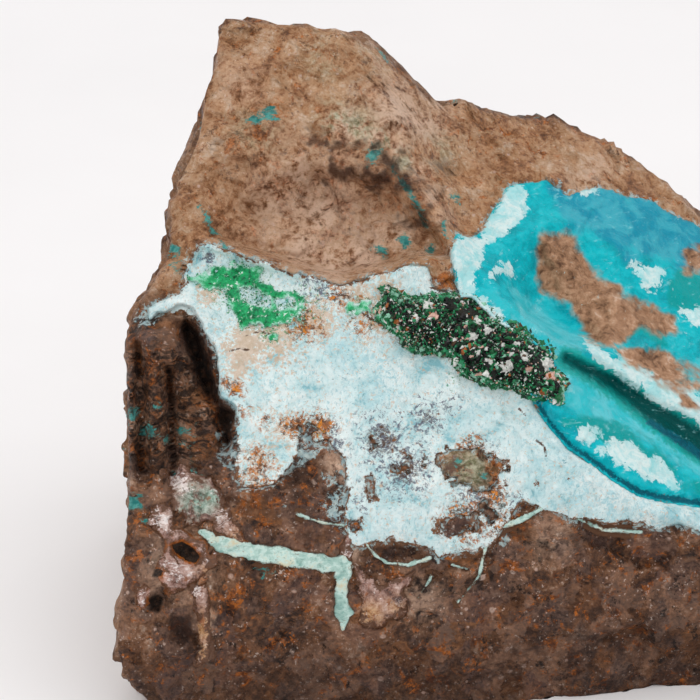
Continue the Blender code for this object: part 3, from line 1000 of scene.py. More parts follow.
@dataclass(frozen=True)
class MatrixFinish(Look):
    """Brown jasper and limonite: plum, rusty and dark blotches, white specks, paler up top (own tone and
    painted light), painted shade in hollows.
    """

    ink: Colour = tone(26, 15, 9)
    dark: Colour = tone(82, 54, 38)
    brown: Colour = tone(134, 90, 60)
    plum: Colour = tone(124, 96, 82)
    rust: Colour = tone(196, 108, 30)
    speck: Colour = tone(236, 218, 206)
    teal: Colour = tone(92, 172, 164)
    pink: Colour = tone(204, 168, 150)
    druse: Colour = tone(8, 22, 16)

    def material(self) -> bpy.types.Material:
        """The matrix's material."""
        f = Finish("matrix", 0.5, 0.28)
        light = f.mark("light")
        large = f.noise(6.5, 4, 0.55, 0.5)
        middle = f.noise(2.1, 7, 0.68, 0.6, 4)
        fine = f.noise(0.55, 6, 0.72, 0.3, 2)
        blend = f.sum(f.sum(f.times(large, 0.24), f.times(middle, 0.42)), f.times(fine, 0.34))
        # Painted light, in part: the high ramp makes the top paler and the low ramp the lower front darker;
        # partly the rock's own tone.
        low = f.ramp(blend, [(0.42, self.ink), (0.465, self.dark), (0.51, self.brown),
                             (0.55, tone(166, 120, 88)), (0.60, tone(226, 190, 164))])
        high = f.ramp(blend, [(0.40, tone(98, 60, 34)), (0.46, tone(162, 111, 72)),
                              (0.50, tone(196, 148, 107)), (0.54, tone(206, 164, 127)),
                              (0.60, tone(234, 205, 178))])
        f.colour = f.mix(light, low, high)
        _, clast = f.cells(2.8, 13, 0.7)
        clasts = f.ramp(clast, [(0, tone(40, 26, 20)), (0.30, tone(92, 62, 44)), (0.42, tone(112, 88, 82)),
                                (0.52, tone(146, 98, 62)), (0.60, tone(60, 38, 28)),
                                (0.70, tone(150, 118, 100))], Blend.STEPPED)
        f.lay(f.sum(0.42, f.times(light, 0.28), "SUBTRACT"), clasts)
        plum = f.ease(f.noise(3.6, 5, 0.62, 0.5, 9), 0.50, 0.58, 0.7)
        f.lay(f.times(plum, f.sum(1, light, "SUBTRACT")),
              f.mix(f.ease(fine, 0.38, 0.62), tone(70, 50, 44), self.plum))
        streaks = f.noise(1.8, 8, 0.78, 0.9, 7)
        rust = f.ease(f.sum(streaks, f.times(f.mark("rust"), 0.10)), 0.545, 0.60, 0.85)
        f.lay(rust, f.mix(f.ease(fine, 0.42, 0.58), tone(104, 52, 16), self.rust))
        # Painted shade: dark specks stand in for the shade in small pits and crevices.
        pits = f.ease(f.noise(1.3, 8, 0.80, 0.3, 11), 0.56, 0.61, 0.9)
        f.lay(pits, f.mix(light, self.ink, tone(104, 70, 48)))
        pale = f.mix(f.ease(middle, 0.4, 0.6), self.speck, self.pink)
        busy = f.ease(middle, 0.44, 0.56)
        for spacing, most in ((0.5, 0.22), (1.2, 0.20), (2.4, 0.17)):
            f.lay(f.times(f.times(f.specks(spacing, most, spacing), 0.9), busy), pale)
        dust = f.ease(f.noise(0.34, 3, 0.6, 0, 71), 0.61, 0.67, 0.7)
        f.lay(f.times(dust, busy), f.mix(light, self.speck, tone(232, 206, 186)))
        f.lay(f.times(f.ease(f.sum(fine, middle), 0.80, 1.1), f.mark("pink")), tone(228, 194, 168))
        bands = f.noise(1.2, 6, 0.72, 1.2, 51, (0.7, 0.7, 2.4))
        f.lay(f.times(f.ease(bands, 0.48, 0.56, 0.88), f.mark("bands")), self.ink)
        f.lay(f.times(f.ease(bands, 0.45, 0.36, 0.8), f.mark("bands")), tone(172, 110, 70))
        ragged = f.noise(1.1, 7, 0.78, 0.5, 21, (0.7, 0.7, 1.8))
        stain = f.ease(f.sum(f.times(f.mark("teal"), 0.17), ragged), 0.60, 0.68)
        olive = f.times(f.mark("olive"), f.ease(middle, 0.42, 0.56))
        f.lay(olive, f.mix(f.ease(fine, 0.4, 0.6), tone(122, 126, 88), tone(206, 206, 178)))
        f.lay(f.times(stain, f.ease(f.mark("teal"), 0.05, 0.4)),
              f.mix(f.ease(fine, 0.42, 0.58), self.teal, tone(40, 132, 128)))
        f.lay(f.times(f.ease(f.noise(4, 6, 0.7, 0.6, 31), 0.60, 0.64, 0.9), f.mark("back")),
              tone(96, 176, 172))
        near = f.sum(f.mark("near"), f.swing(f.noise(0.8, 8, 0.78, 0.6, 41), 6))
        frost = f.mix(f.ease(fine, 0.4, 0.6), tone(162, 194, 200), tone(206, 228, 226))
        f.lay(f.ease(near, -0.15, 0.1, 0.85), frost)
        f.lay(f.times(f.mark("druse"), 0.97), self.druse)
        # Painted shade: darkens the rock under the brow, in the recess and the oval pit and towards the foot,
        # and darkens a few blotches.
        shade_and_dark = f.ease(f.sum(f.mark("shade_and_dark"), f.swing(middle, 2)), 0.15, 0.80, 0.92)
        shade = f.mix(shade_and_dark, (1, 1, 1, 1), tone(88, 64, 50))
        f.lay(1, shade, "MULTIPLY")
        # Painted shade: near black in the hollow beside the tongue and in the pits.
        hole_shade = f.ease(f.sum(f.mark("hole_shade"), f.swing(blend, 3)), 0.25, 0.80, 0.93)
        f.lay(hole_shade, f.mix(f.ease(fine, 0.48, 0.62), tone(12, 8, 6), tone(74, 48, 32)))
        normal = f.bump(fine, 0.36, f.bump(middle, 1, f.bump(f.times(bands, f.mark("bands")), 0.5)))
        return f.dress(normal, f.sum(f.ease(f.noise(1.2, 5, 0.7, 0, 15), 0.38, 0.62, 0.5), 0.25))


@dataclass(frozen=True)
class CrustFinish(Look):
    """Pale, clayey chrysocolla: nearly white, bluer in its hollows, rusty, grey and tan where it is thin."""

    white: Colour = tone(222, 240, 240)
    pale: Colour = tone(198, 228, 230)
    blue: Colour = tone(150, 206, 216)
    rust: Colour = tone(168, 98, 40)
    grey: Colour = tone(96, 102, 118)
    tan: Colour = tone(206, 180, 152)
    green: Colour = tone(20, 136, 80)
    brown: Colour = tone(84, 58, 42)

    def material(self) -> bpy.types.Material:
        """The crust's material."""
        f = Finish("pale_crust", 0.78, 0.3)
        cloud = f.noise(3, 6, 0.65, 0.6)
        streak = f.noise(0.9, 7, 0.72, 1.2, 3)
        fleck = f.noise(0.45, 6, 0.78, 0.4, 6)
        f.colour = f.ramp(f.blend(cloud, 0.6, streak), [(0.39, tone(140, 196, 206)), (0.45, self.pale),
                                                        (0.51, self.white), (0.60, tone(240, 250, 248))])
        brushed = f.ease(f.noise(0.7, 6, 0.7, 1.6, 37, (1.6, 1, 0.6)), 0.53, 0.63, 0.65)
        f.lay(brushed, tone(138, 192, 202))
        stain = f.ease(streak, 0.46, 0.60, 0.9)
        f.lay(f.times(stain, f.mark("blue")), self.blue)
        dots = f.ease(f.noise(0.42, 6, 0.8, 0.5, 77), 0.58, 0.64, 0.8)
        f.lay(f.times(dots, f.ease(f.mark("blue"), 0.1, 0.6)), tone(84, 152, 166))
        tan = f.ease(f.sum(f.mark("tan"), f.swing(fleck, 5)), 0.30, 0.62, 0.9)
        f.lay(tan, f.mix(f.ease(streak, 0.42, 0.6), self.tan, tone(222, 202, 184)))
        for mark, paint, size, least in (("grey", self.grey, 0.5, 0.05), ("rust", self.rust, 0.8, 0.05),
                                         ("rust", self.brown, 0.5, 0.15), ("grey", self.brown, 0.42, 0.60),
                                         ("green", self.green, 0.5, 0.02)):
            speck = f.sum(f.times(f.mark(mark), 0.13),
                          f.noise(size, 8, 0.80, 0.7, 12.0 + 9.0 * size + least))
            share = f.ease(speck, 0.585, 0.63, 0.92)
            f.lay(f.times(share, f.ease(f.mark(mark), least, least + 0.3)), paint)
        amber = f.sum(f.times(f.mark("rust"), 0.10), f.noise(0.5, 7, 0.78, 0.5, 61))
        f.lay(f.times(f.ease(amber, 0.60, 0.64, 0.95), f.ease(f.mark("rust"), 0.1, 0.5)), tone(216, 134, 46))
        specks = f.ease(f.noise(0.36, 3, 0.7, 0, 29), 0.68, 0.73, 0.75)
        f.lay(specks, tone(110, 130, 128))
        brown = f.mix(f.ease(fleck, 0.4, 0.6), self.brown, tone(150, 106, 76))
        f.lay(f.patch("crack", fleck, 0.5, 0.05), self.brown)
        f.bare(brown, 0.2, 0.75, 0.75)
        return f.dress(f.bump(fleck, 0.12, f.bump(streak, 0.30, f.bump(cloud, 0.45))))


@dataclass(frozen=True)
class TurquoiseFinish(Look):
    """Glassy turquoise layers: bright turquoise, blue and teal, with chalky bands and brown islands."""

    turquoise: Colour = tone(0, 182, 194)
    light: Colour = tone(96, 202, 212)
    blue: Colour = tone(14, 146, 172)
    # Painted shade: the dark band in the groove, on the step's shaded side.
    deep: Colour = tone(0, 78, 76)
    ink: Colour = tone(0, 80, 98)
    chalk: Colour = tone(222, 238, 236)
    brown: Colour = tone(150, 112, 84)
    umber: Colour = tone(86, 58, 42)

    def material(self) -> bpy.types.Material:
        """The turquoise slope's material."""
        f = Finish("turquoise_layers", 0.42, 0.10)
        cloud = f.noise(2.6, 6, 0.62, 0.8)
        streak = f.noise(0.9, 6, 0.7, 1, 3)
        fleck = f.noise(0.45, 5, 0.75, 0.4, 6)
        f.colour = f.ramp(f.blend(cloud, 0.7, streak), [(0.38, tone(0, 150, 162)), (0.50, self.turquoise),
                                                        (0.60, tone(40, 196, 206)), (0.70, self.light)])
        wave = f.noise(3, 3.5, 0.55, 0.2, 14)
        f.lay(f.patch("light", wave, 6, 0.5),
              f.mix(f.ease(cloud, 0.4, 0.6), self.light, tone(40, 190, 200)))
        f.lay(f.patch("blue", wave, 8, 0.9), f.mix(f.ease(cloud, 0.4, 0.6), self.blue, tone(60, 172, 190)))
        f.lay(f.patch("teal", wave, 5, 0.4), tone(0, 158, 158))
        edge = f.ease(f.sum(f.mark("deep"), f.swing(streak, 3)), -1.1, -0.3, 0.85)
        f.lay(edge, tone(8, 160, 150))
        # Painted shade: the groove is darkened where the step beside it casts shade.
        f.lay(f.patch("deep", streak, 1.6, 0.5), self.deep)
        streaks = f.ease(f.noise(1.4, 7, 0.7, 0.8, 19, (0.6, 0.6, 2.4)), 0.57, 0.67, 0.5)
        f.lay(streaks, tone(150, 218, 222))
        chalk = f.mix(f.ease(streak, 0.42, 0.6), self.chalk, tone(186, 226, 228))
        chalk = f.mix(f.ease(cloud, 0.50, 0.60, 0.6), chalk, tone(140, 214, 218))
        plates = f.blend(wave, 0.5, streak)
        f.lay(f.times(f.patch("chalk", plates, 7, 0.16), 0.94), chalk)
        earth = f.ramp(f.blend(cloud, 0.5, streak),
                       [(0.38, self.umber), (0.47, self.brown), (0.56, tone(184, 144, 114)),
                        (0.64, tone(220, 196, 178))])
        f.lay(f.patch("brown", wave, 5, 0.5), earth)
        f.lay(f.patch("ink", fleck, 1.4, 0.12), f.mix(f.ease(fleck, 0.42, 0.6), self.ink, tone(8, 104, 120)))
        specks = f.ease(fleck, 0.63, 0.69, 0.6)
        f.lay(specks, tone(190, 230, 232))
        f.bare(earth, -0.1, 0.9, 1.2)
        rough = f.ease(f.sum(f.mark("chalk"), f.times(streak, 0.5)), -0.6, 0.8, 0.5)
        normal = f.bump(fleck, 0.10, f.bump(streak, 0.26, f.bump(cloud, 0.40)))
        return f.dress(normal, f.sum(rough, 0.30))


@dataclass(frozen=True)
class MalachiteFinish(Look):
    """Velvety green malachite, brightest in its middle and paling towards its rim."""

    bright: Colour = tone(8, 168, 94)
    green: Colour = tone(20, 146, 92)
    mint: Colour = tone(150, 218, 190)
    dark: Colour = tone(4, 84, 52)

    def material(self) -> bpy.types.Material:
        """The malachite's material."""
        f = Finish("malachite_velvet", 0.62, 0.4)
        cloud = f.noise(1.3, 6, 0.7, 0.6)
        fleck = f.noise(0.32, 4, 0.75, 0.2, 5)
        tuft, _ = f.cells(0.28, 2)
        f.colour = f.ramp(f.blend(cloud, 0.6, fleck), [(0.40, self.dark), (0.45, self.green),
                                                       (0.52, self.bright), (0.56, tone(44, 188, 124)),
                                                       (0.62, self.mint)])
        rim = f.ease(f.sum(f.mark("cover"), f.times(cloud, -2.2)), -0.6, -1.1)
        f.lay(rim, self.mint)
        powder = f.ease(f.noise(0.9, 6, 0.72, 0.4, 9), 0.57, 0.63, 0.95)
        f.lay(powder, tone(222, 240, 232))
        pits = f.ease(f.noise(0.6, 6, 0.8, 0.4, 19), 0.60, 0.65, 0.88)
        f.lay(pits, tone(8, 48, 34))
        f.bare(tone(206, 230, 224), 0.12, 0.55, 0.6)
        normal = f.bump(tuft, 0.12, f.bump(fleck, 0.12, f.bump(cloud, 0.3)))
        return f.dress(normal)


@dataclass(frozen=True)
class VeinFinish(Look):
    """Pale green-blue vein filling with a darker, grainy middle."""

    pale: Colour = tone(200, 226, 218)
    green: Colour = tone(166, 200, 190)
    sand: Colour = tone(214, 204, 172)

    def material(self) -> bpy.types.Material:
        """The veins' material."""
        f = Finish("vein_filling", 0.7, 0.25)
        cloud = f.noise(1.8, 6, 0.7, 0.5, 1)
        fleck = f.noise(0.4, 5, 0.75, 0.3, 2)
        streak = f.noise(0.9, 7, 0.75, 1, 8, (0.6, 1, 1.8))
        f.colour = f.ramp(f.blend(cloud, 0.65, streak), [(0.38, tone(132, 174, 166)), (0.45, self.green),
                                                         (0.51, self.pale), (0.62, self.sand)])
        f.lay(f.ease(fleck, 0.56, 0.66, 0.8), tone(112, 146, 132))
        f.lay(f.ease(fleck, 0.40, 0.33, 0.6), tone(226, 240, 234))
        f.lay(f.ease(f.noise(0.6, 6, 0.8, 0.4, 5), 0.60, 0.65, 0.9), tone(120, 76, 40))
        f.bare(tone(92, 62, 42), 0.03, 0.30, 0.5)
        return f.dress(f.bump(fleck, 0.16, f.bump(cloud, 0.3)))


@dataclass(frozen=True)
class QuartzFinish(Look):
    """Cloudy quartz: mauve, greenish or ochre, frosted white, glossy, lit a little from within."""

    mauve: Colour = tone(140, 104, 92)
    pale: Colour = tone(190, 160, 150)
    white: Colour = tone(240, 230, 226)
    green: Colour = tone(92, 132, 116)
    ochre: Colour = tone(180, 128, 74)
    amber: Colour = tone(190, 104, 24)
    smoke: Colour = tone(84, 60, 52)

    def material(self) -> bpy.types.Material:
        """The quartz's material."""
        f = Finish("cloudy_quartz", 0.25, 0.4)
        f.shader.inputs["Subsurface Weight"].default_value = 0.2
        f.shader.inputs["Subsurface Radius"].default_value = (0.0012, 0.0009, 0.0007)
        f.shader.inputs["Subsurface Scale"].default_value = 1.0
        cloud = f.noise(1.7, 6, 0.68, 0.6)
        fleck = f.noise(0.5, 6, 0.75, 0.3, 6)
        f.colour = f.ramp(f.blend(cloud, 0.6, fleck),
                          [(0.41, self.smoke), (0.48, self.mauve), (0.57, self.pale), (0.65, self.white)])
        f.lay(f.times(f.ease(cloud, 0.38, 0.52, 0.9), f.mark("ochre")),
              f.mix(f.ease(fleck, 0.4, 0.6), self.ochre, tone(214, 172, 120)))
        f.lay(f.times(f.ease(cloud, 0.40, 0.54, 0.95), f.mark("green")),
              f.mix(f.ease(fleck, 0.4, 0.62), self.green, tone(176, 204, 190)))
        threads = f.noise(0.9, 7, 0.75, 1.6, 27, (0.7, 0.7, 1.5))
        frost = f.ease(f.sum(threads, f.times(f.mark("frost"), 0.12)), 0.58, 0.64, 0.9)
        f.lay(frost, self.white)
        rusty = f.ease(f.sum(f.noise(0.9, 7, 0.78, 0.8, 9), f.times(f.mark("ochre"), 0.05)), 0.57, 0.62,
                       0.8)
        f.lay(rusty, tone(140, 80, 36))
        f.bare(tone(96, 64, 44), 0.38, 1.3, 0.9)
        ring = f.times(f.ease(f.sum(f.mark("cover"), f.times(threads, 2.4)), 1.55, 1.20), f.mark("amber"))
        f.lay(ring, self.amber)
        rough = f.sum(f.ease(fleck, 0.3, 0.7, 0.4), 0.12)
        return f.dress(f.bump(fleck, 0.14, f.bump(cloud, 0.35)), rough)


@dataclass(frozen=True)
class GrainFinish(Look):
    """Small crystals, each of one kind: near-black, green, white, pink or orange, by its own number.

    Attributes:
        name: the material's name.
        stops: where along 0 to 1 each kind starts, with its colour.
        roughness: how dull the crystals' faces are.
    """

    name: str
    stops: tuple[tuple[float, Colour], ...]
    roughness: float = 0.22

    def material(self) -> bpy.types.Material:
        """The crystals' material."""
        f = Finish(self.name, self.roughness, 0.3)
        f.colour = f.ramp(f.mark("kind"), list(self.stops), Blend.STEPPED)
        cloud = f.noise(0.5, 4, 0.7, 0.2)
        shade = f.ramp(cloud, [(0.3, tone(150, 150, 150)), (0.7, tone(255, 255, 255))])
        f.lay(1, shade, "MULTIPLY")
        return f.dress(f.bump(f.noise(0.16, 3), 0.03))


# ---- skins ----


@dataclass
class Skin:
    """A thin closed sheet that lies on the stone's front.

    Attributes:
        name: the piece's name.
        look: its finish.
        span: its grid's lowest and highest place across, then up.
        step: its grid's spacing.
        sink: how far it dives below the surface outside its border.
        edge: how wide its border's slope is.
        margin: how far outside its border its cells still run.
        body: how much deeper than its dive its underside lies.
    """

    name: str = "skin"
    look: Look = Look()
    span: tuple[float, float, float, float] = (-1, 1, -1, 1)
    step: float = 0.2
    sink: float = 0.55
    edge: float = 0.22
    margin: float = 0.45
    body: float = 0.5

    def presence(self, across: Array, up: Array) -> Array:
        """Distance inside the skin's border, positive where it covers the rock."""
        raise NotImplementedError

    def thickness(self, across: Array, up: Array, presence: Array) -> Array:
        """How far the skin stands above the rock where it covers it."""
        raise NotImplementedError

    def marks(self, across: Array, up: Array, presence: Array) -> dict[str, Array]:
        """The values at each point that the finish reads."""
        return {}

    def build(self, form: StoneForm) -> bpy.types.Object:
        """Work the skin out on its grid and close it.

        A point's height is the stone's relief plus the skin's thickness, eased in across the border
        from as far below the surface as the skin dives. Cells wholly outside the border are left out.

        Args:
            form: the stone that it lies on.

        Returns:
            The new piece.
        """
        rows = np.arange(self.span[0], self.span[1], self.step)
        columns = np.arange(self.span[2], self.span[3], self.step)
        across, up = (axis.ravel() for axis in np.meshgrid(rows, columns, indexing="ij"))
        presence = self.presence(across, up)
        quads = grid_quads(len(rows), len(columns))
        quads = quads[presence[quads].max(axis=1) > -self.margin]
        used, numbers = np.unique(quads, return_inverse=True)
        quads = numbers.reshape(quads.shape)
        across, up, presence = across[used], up[used], presence[used]
        depth = form.surface_depth(across, up)
        base = form.plane.place(across, up, depth)
        rays = form.plane.rays(base)
        rise = smooth(presence, -self.edge / 2.0, self.edge / 2.0)
        lift = -self.sink + (self.sink + self.thickness(across, up, presence)) * rise
        relief = form.relief(across, up)
        top = base - rays * (relief + lift)[:, None]
        bottom = base - rays * (relief - self.sink - self.body)[:, None]
        points, cells = closed_shell(top, bottom, quads)
        marks = {"cover": np.clip(presence, -2.0, 3.0)} | self.marks(across, up, presence)
        marks = {name: np.tile(values, 2) for name, values in marks.items()}
        kept = np.unique(cells)
        lookup = np.zeros(len(points), np.int64)
        lookup[kept] = np.arange(len(kept))
        marks = {name: values[kept] for name, values in marks.items()}
        return make_piece(self.name, points[kept], lookup[cells], self.look.material(), marks)


def spots(across: Array, up: Array, places: tuple[tuple[float, float, float, float], ...]) -> Array:
    """The highest of several bells, each given as across, up, radius and height."""
    total = np.zeros(len(across))
    for x, y, radius, height in places:
        total = np.maximum(total, Spot((x, y), radius, height).bell(across, up))
    return total


def blotches(across: Array, up: Array, tables: Blotches) -> dict[str, Array]:
    """The spots of each named table."""
    return {name: spots(across, up, places) for name, places in tables.items()}


CRUST_BLOTCHES: Blotches = {
    "rust": (
        (-5.6, -7.6, 1.8, 0.8), (-3, -7.6, 1.6, 0.9), (-9.2, -11.4, 2.2, 0.7), (-8.8, -13.4, 1.6, 0.8),
        (-8.4, -7.2, 1.2, 0.5), (-11.3, -3.9, 1, 1), (-10.6, -6, 1, 0.6), (1.4, 3.4, 2.8, 0.55),
        (5.6, 2.2, 1.8, 0.9), (-4.5, 2.6, 2.2, 0.8), (14.2, -14.6, 1.6, 1), (11.4, -17, 2.6, 0.9),
        (-12.6, -6.6, 1.2, 1), (-12.2, -3.4, 0.8, 0.9), (-1, 5.6, 1.6, 0.7), (12.2, -9.8, 1.6, 0.8),
        (14.8, -17.2, 1.6, 0.7), (-11.6, -13, 1.4, 1),
    ),
    "grey": (
        (3.2, -9, 3.2, 0.9), (7.6, -6.8, 2.4, 0.8), (5.6, -12, 3.2, 0.9), (-1.8, -8, 1.4, 0.7),
        (1.4, -14.6, 2.2, 0.5), (12.6, -15, 2.6, 0.7), (16.6, -15.4, 1.4, 0.7), (9.6, -5.6, 2, 0.6),
        (-3.2, 6.6, 2.6, 0.7), (-14.2, 9.4, 1, 0.8), (14.4, -9.4, 1.6, 0.4), (-1.4, -9.4, 1.2, 0.7),
    ),
    "tan": (
        (-10.2, 0.4, 2.2, 1.1), (-11.2, -1.6, 1.5, 0.9), (-7.2, 1, 2.4, 0.9), (-3.4, 3, 2.2, 0.9),
        (0.8, 5, 2.4, 0.8), (3.6, 6.2, 1.8, 0.7), (-14.2, 5.6, 1.2, 0.9), (2.2, 2.6, 2.4, 0.5),
        (-9, -11.4, 2.4, 0.5), (-6.6, -8, 2.4, 0.5), (-3.4, -7.8, 1.8, 0.4),
    ),
    "blue": (
        (2.6, -2.4, 4.2, 0.9), (6.2, 0.2, 2.4, 0.6), (12.8, -5.4, 3, 0.7), (-0.4, 0.6, 3, 0.7),
        (20, -11, 5, 0.7), (22.6, -13.6, 3, 0.9), (26, -15.4, 3, 0.9), (4.4, -17, 3.4, 0.6),
        (33, -17, 6, 0.9), (-13.2, 1.8, 1.4, 0.9), (-12.4, -3.6, 1.2, 0.8), (28, -16, 4, 0.8),
        (19.4, -6.6, 1.6, 1.2),
    ),
    "green": (
        (-11, 6, 3.6, 0.5), (-7, 3.4, 3, 0.5), (-4.4, 4.6, 2.4, 0.45), (1.2, 4.6, 1, 0.7),
        (-8, 1.4, 1.2, 0.8), (-3.2, -8, 0.8, 0.6), (3.2, 3.2, 1.6, 0.4), (7, 0.8, 1, 0.6),
        (12.8, -10.6, 1.2, 0.5), (10.4, -3, 1.2, 0.4),
    ),
}


@dataclass
class PaleCrust(Skin):
    """The pale crust of the show face, from the shelf's crest to the broken lower edge."""

    name: str = "pale_crust"
    look: Look = CrustFinish()
    span: tuple[float, float, float, float] = (-21.5, 47.5, -23.5, 11.5)
    step: float = 0.16
    border: Area = Area((
        (-20.4, 4.3), (-18.5, 5.1), (-16.7, 5.6), (-16.6, 8.4), (-15.3, 10.6), (-13.8, 10.6), (-12.2, 10.2),
        (-9.8, 9.1), (-8.3, 8.7), (-5.9, 7.6), (-3.6, 7.3), (-2.1, 6.8), (-0.5, 6.6), (1.4, 7.4), (4.6, 8),
        (6.2, 8.6), (8, 8.5), (8.3, 6.4), (12, 5.6), (14.5, 2.4), (18.6, -4.9), *SEAM,
        (46, -22), (40, -20.2), (35, -18.3), (32.8, -17.5), (32, -17.9), (29.6, -18), (29.3, -17.4),
        (24.4, -17.2), (21.9, -16.9), (20.2, -16.2), (17.5, -15.4), (16.2, -16.4), (15.6, -17.7),
        (13.8, -19.9), (10.6, -20.4), (8.7, -21), (8.2, -19.8), (5, -19.3), (2.2, -19.4), (0.3, -19.6),
        (-0.5, -19), (-0.6, -17), (-0.4, -13), (-1, -10.5), (-2.2, -9.2), (-4.6, -9.4), (-6.2, -11.6),
        (-7.5, -13.4), (-9, -14), (-11, -14), (-11.6, -12.6), (-11.2, -10.5), (-11.3, -8), (-11.4, -5.7),
        (-12.7, -4.6), (-13, -2.3), (-13.4, -0.1), (-14, 1.2), (-15.4, 3.1), (-16.2, 4.3), (-17, 4.6),
        (-18.5, 3.9), (-20, 3.3),
    ), 0.32, 1.4, 3)
    cracks: tuple[Trail, ...] = (
        Trail(((-12, -0.1), (-11, 0.15), (-10.1, 0)), 0.03, 0.10),
        Trail(((-10.4, 1.4), (-9, 1.9), (-7.6, 1.4)), 0.04, 0.08),
        Trail(((0.9, 4), (2.2, 3), (3.9, 2.6), (5.2, 1)), 0.06, 0.10),
        Trail(((-2.4, 5.7), (-0.2, 5.4), (1.8, 4.6)), 0.05, 0.08),
        Trail(((18.6, -9), (19.4, -9.6), (19.6, -10.6)), 0.12, 0.10),
        Trail(((16.9, -5.9), (17.6, -6.6)), 0.14, 0.10),
    )
    rim: Trail = Trail(((-20.2, 3.9), (-16.2, 4.4), (-13.9, 1.3), (-13.2, -2.3), (-11.6, -5.6)), 1.6, 1.2)
    windows: tuple[Area, ...] = (
        Area(((8.8, -10.6), (11, -9.9), (13.6, -10.2), (15.2, -11.6), (15.4, -13.6), (13.4, -13.9),
              (10.6, -12.9), (9, -12.2)), 0.8, 0.8, 5),
        Area(((8.7, -17), (12.5, -16.4), (13.4, -17.4), (10.4, -18.4), (8.8, -18.2)), 0.4, 0.9, 6),
        Area(((-0.2, -17.3), (0.9, -17), (1.2, -17.9), (0.2, -18.2)), 0.3, 0.6, 7),
        Area(((1.6, -12.7), (2.2, -12.6), (2.6, -14.8), (2, -14.9)), 0.12, 0.6, 8),
        Area(((9.2, 7.6), (10.4, 7.4), (10, 5.9), (9, 6.1)), 0.3, 0.8, 8),
    )

    def presence(self, across: Array, up: Array) -> Array:
        """Inside the border, outside its windows, off the dark seam, and worn thin in its rusty zone.

        Args:
            across, up: places on the show plane.

        Returns:
            The distance inside, positive where the crust covers the rock.
        """
        inside = np.minimum(self.border.depth(across, up), -within(self.windows, across, up))
        seam = Trail(SEAM, 0.25, 0.35).depth(across, up, 0.15)
        inside = np.minimum(np.minimum(inside, -seam), 0.5 - DRUSE.depth(across, up))
        worn = spots(across, up, ((-4.2, -9.2, 2, 0.9), (5.6, -11, 2.4, 0.75), (14, -16, 1.8, 0.7),
                                  (3, -9.6, 1.6, 0.5)))
        holes = fractal(flat_points(across, up, 3.0), 1.1, 5, 90) * 2.0 + 1.5
        return np.minimum(inside, holes - 1.9 * worn)

    def thickness(self, across: Array, up: Array, presence: Array) -> Array:
        """Thickest along the hollow, thin elsewhere, with brushed and clotted unevenness.

        Args:
            across, up: places on the show plane.
            presence: the distance inside the border.

        Returns:
            The thickness at each place.
        """
        distance, width = self.rim.reach(across, up)
        body = 0.06 + 0.55 * np.exp(-((distance / width) ** 2))
        body = body + 0.40 * (1.0 - np.exp(-np.maximum(presence, 0.0) / 1.0))
        clots = 0.13 * fractal(flat_points(across, up, 5.0), 1.3, 4, 92)
        slabs = 0.30 * tilted_cells(flat_points(across, up, 2.0), 3.0, 93, 60.0)
        clean = smooth(across + 0.4 * up, 6.0, 10.0)
        deep = smooth(presence, 0.0, 1.2)
        return np.maximum(body + deep * (clots * (1.0 - 0.5 * clean) + slabs * (0.5 + 0.7 * clean)), 0.05)

    def marks(self, across: Array, up: Array, presence: Array) -> dict[str, Array]:
        """Where the crust is rusty, grey, tan, blue or green.

        Args:
            across, up: places on the show plane.
            presence: the distance inside the border.

        Returns:
            The values, by name.
        """
        seam, _ = Trail(SEAM, 1.0, 1.0).reach(across, up)
        rim, _ = self.rim.reach(across, up)
        firm = 1.6 * np.exp(-((seam / 1.6) ** 2)) + 0.8 * np.exp(-((rim / 1.2) ** 2))
        cover = np.clip(presence + firm + 0.5 * smooth(up + 0.35 * across, 9.5, 11.0), -2.0, 3.0)
        crack = np.max([line.depth(across, up, 0.10) for line in self.cracks], axis=0)
        return blotches(across, up, CRUST_BLOTCHES) | {"cover": cover, "crack": np.clip(crack, -3.0, 3.0)}


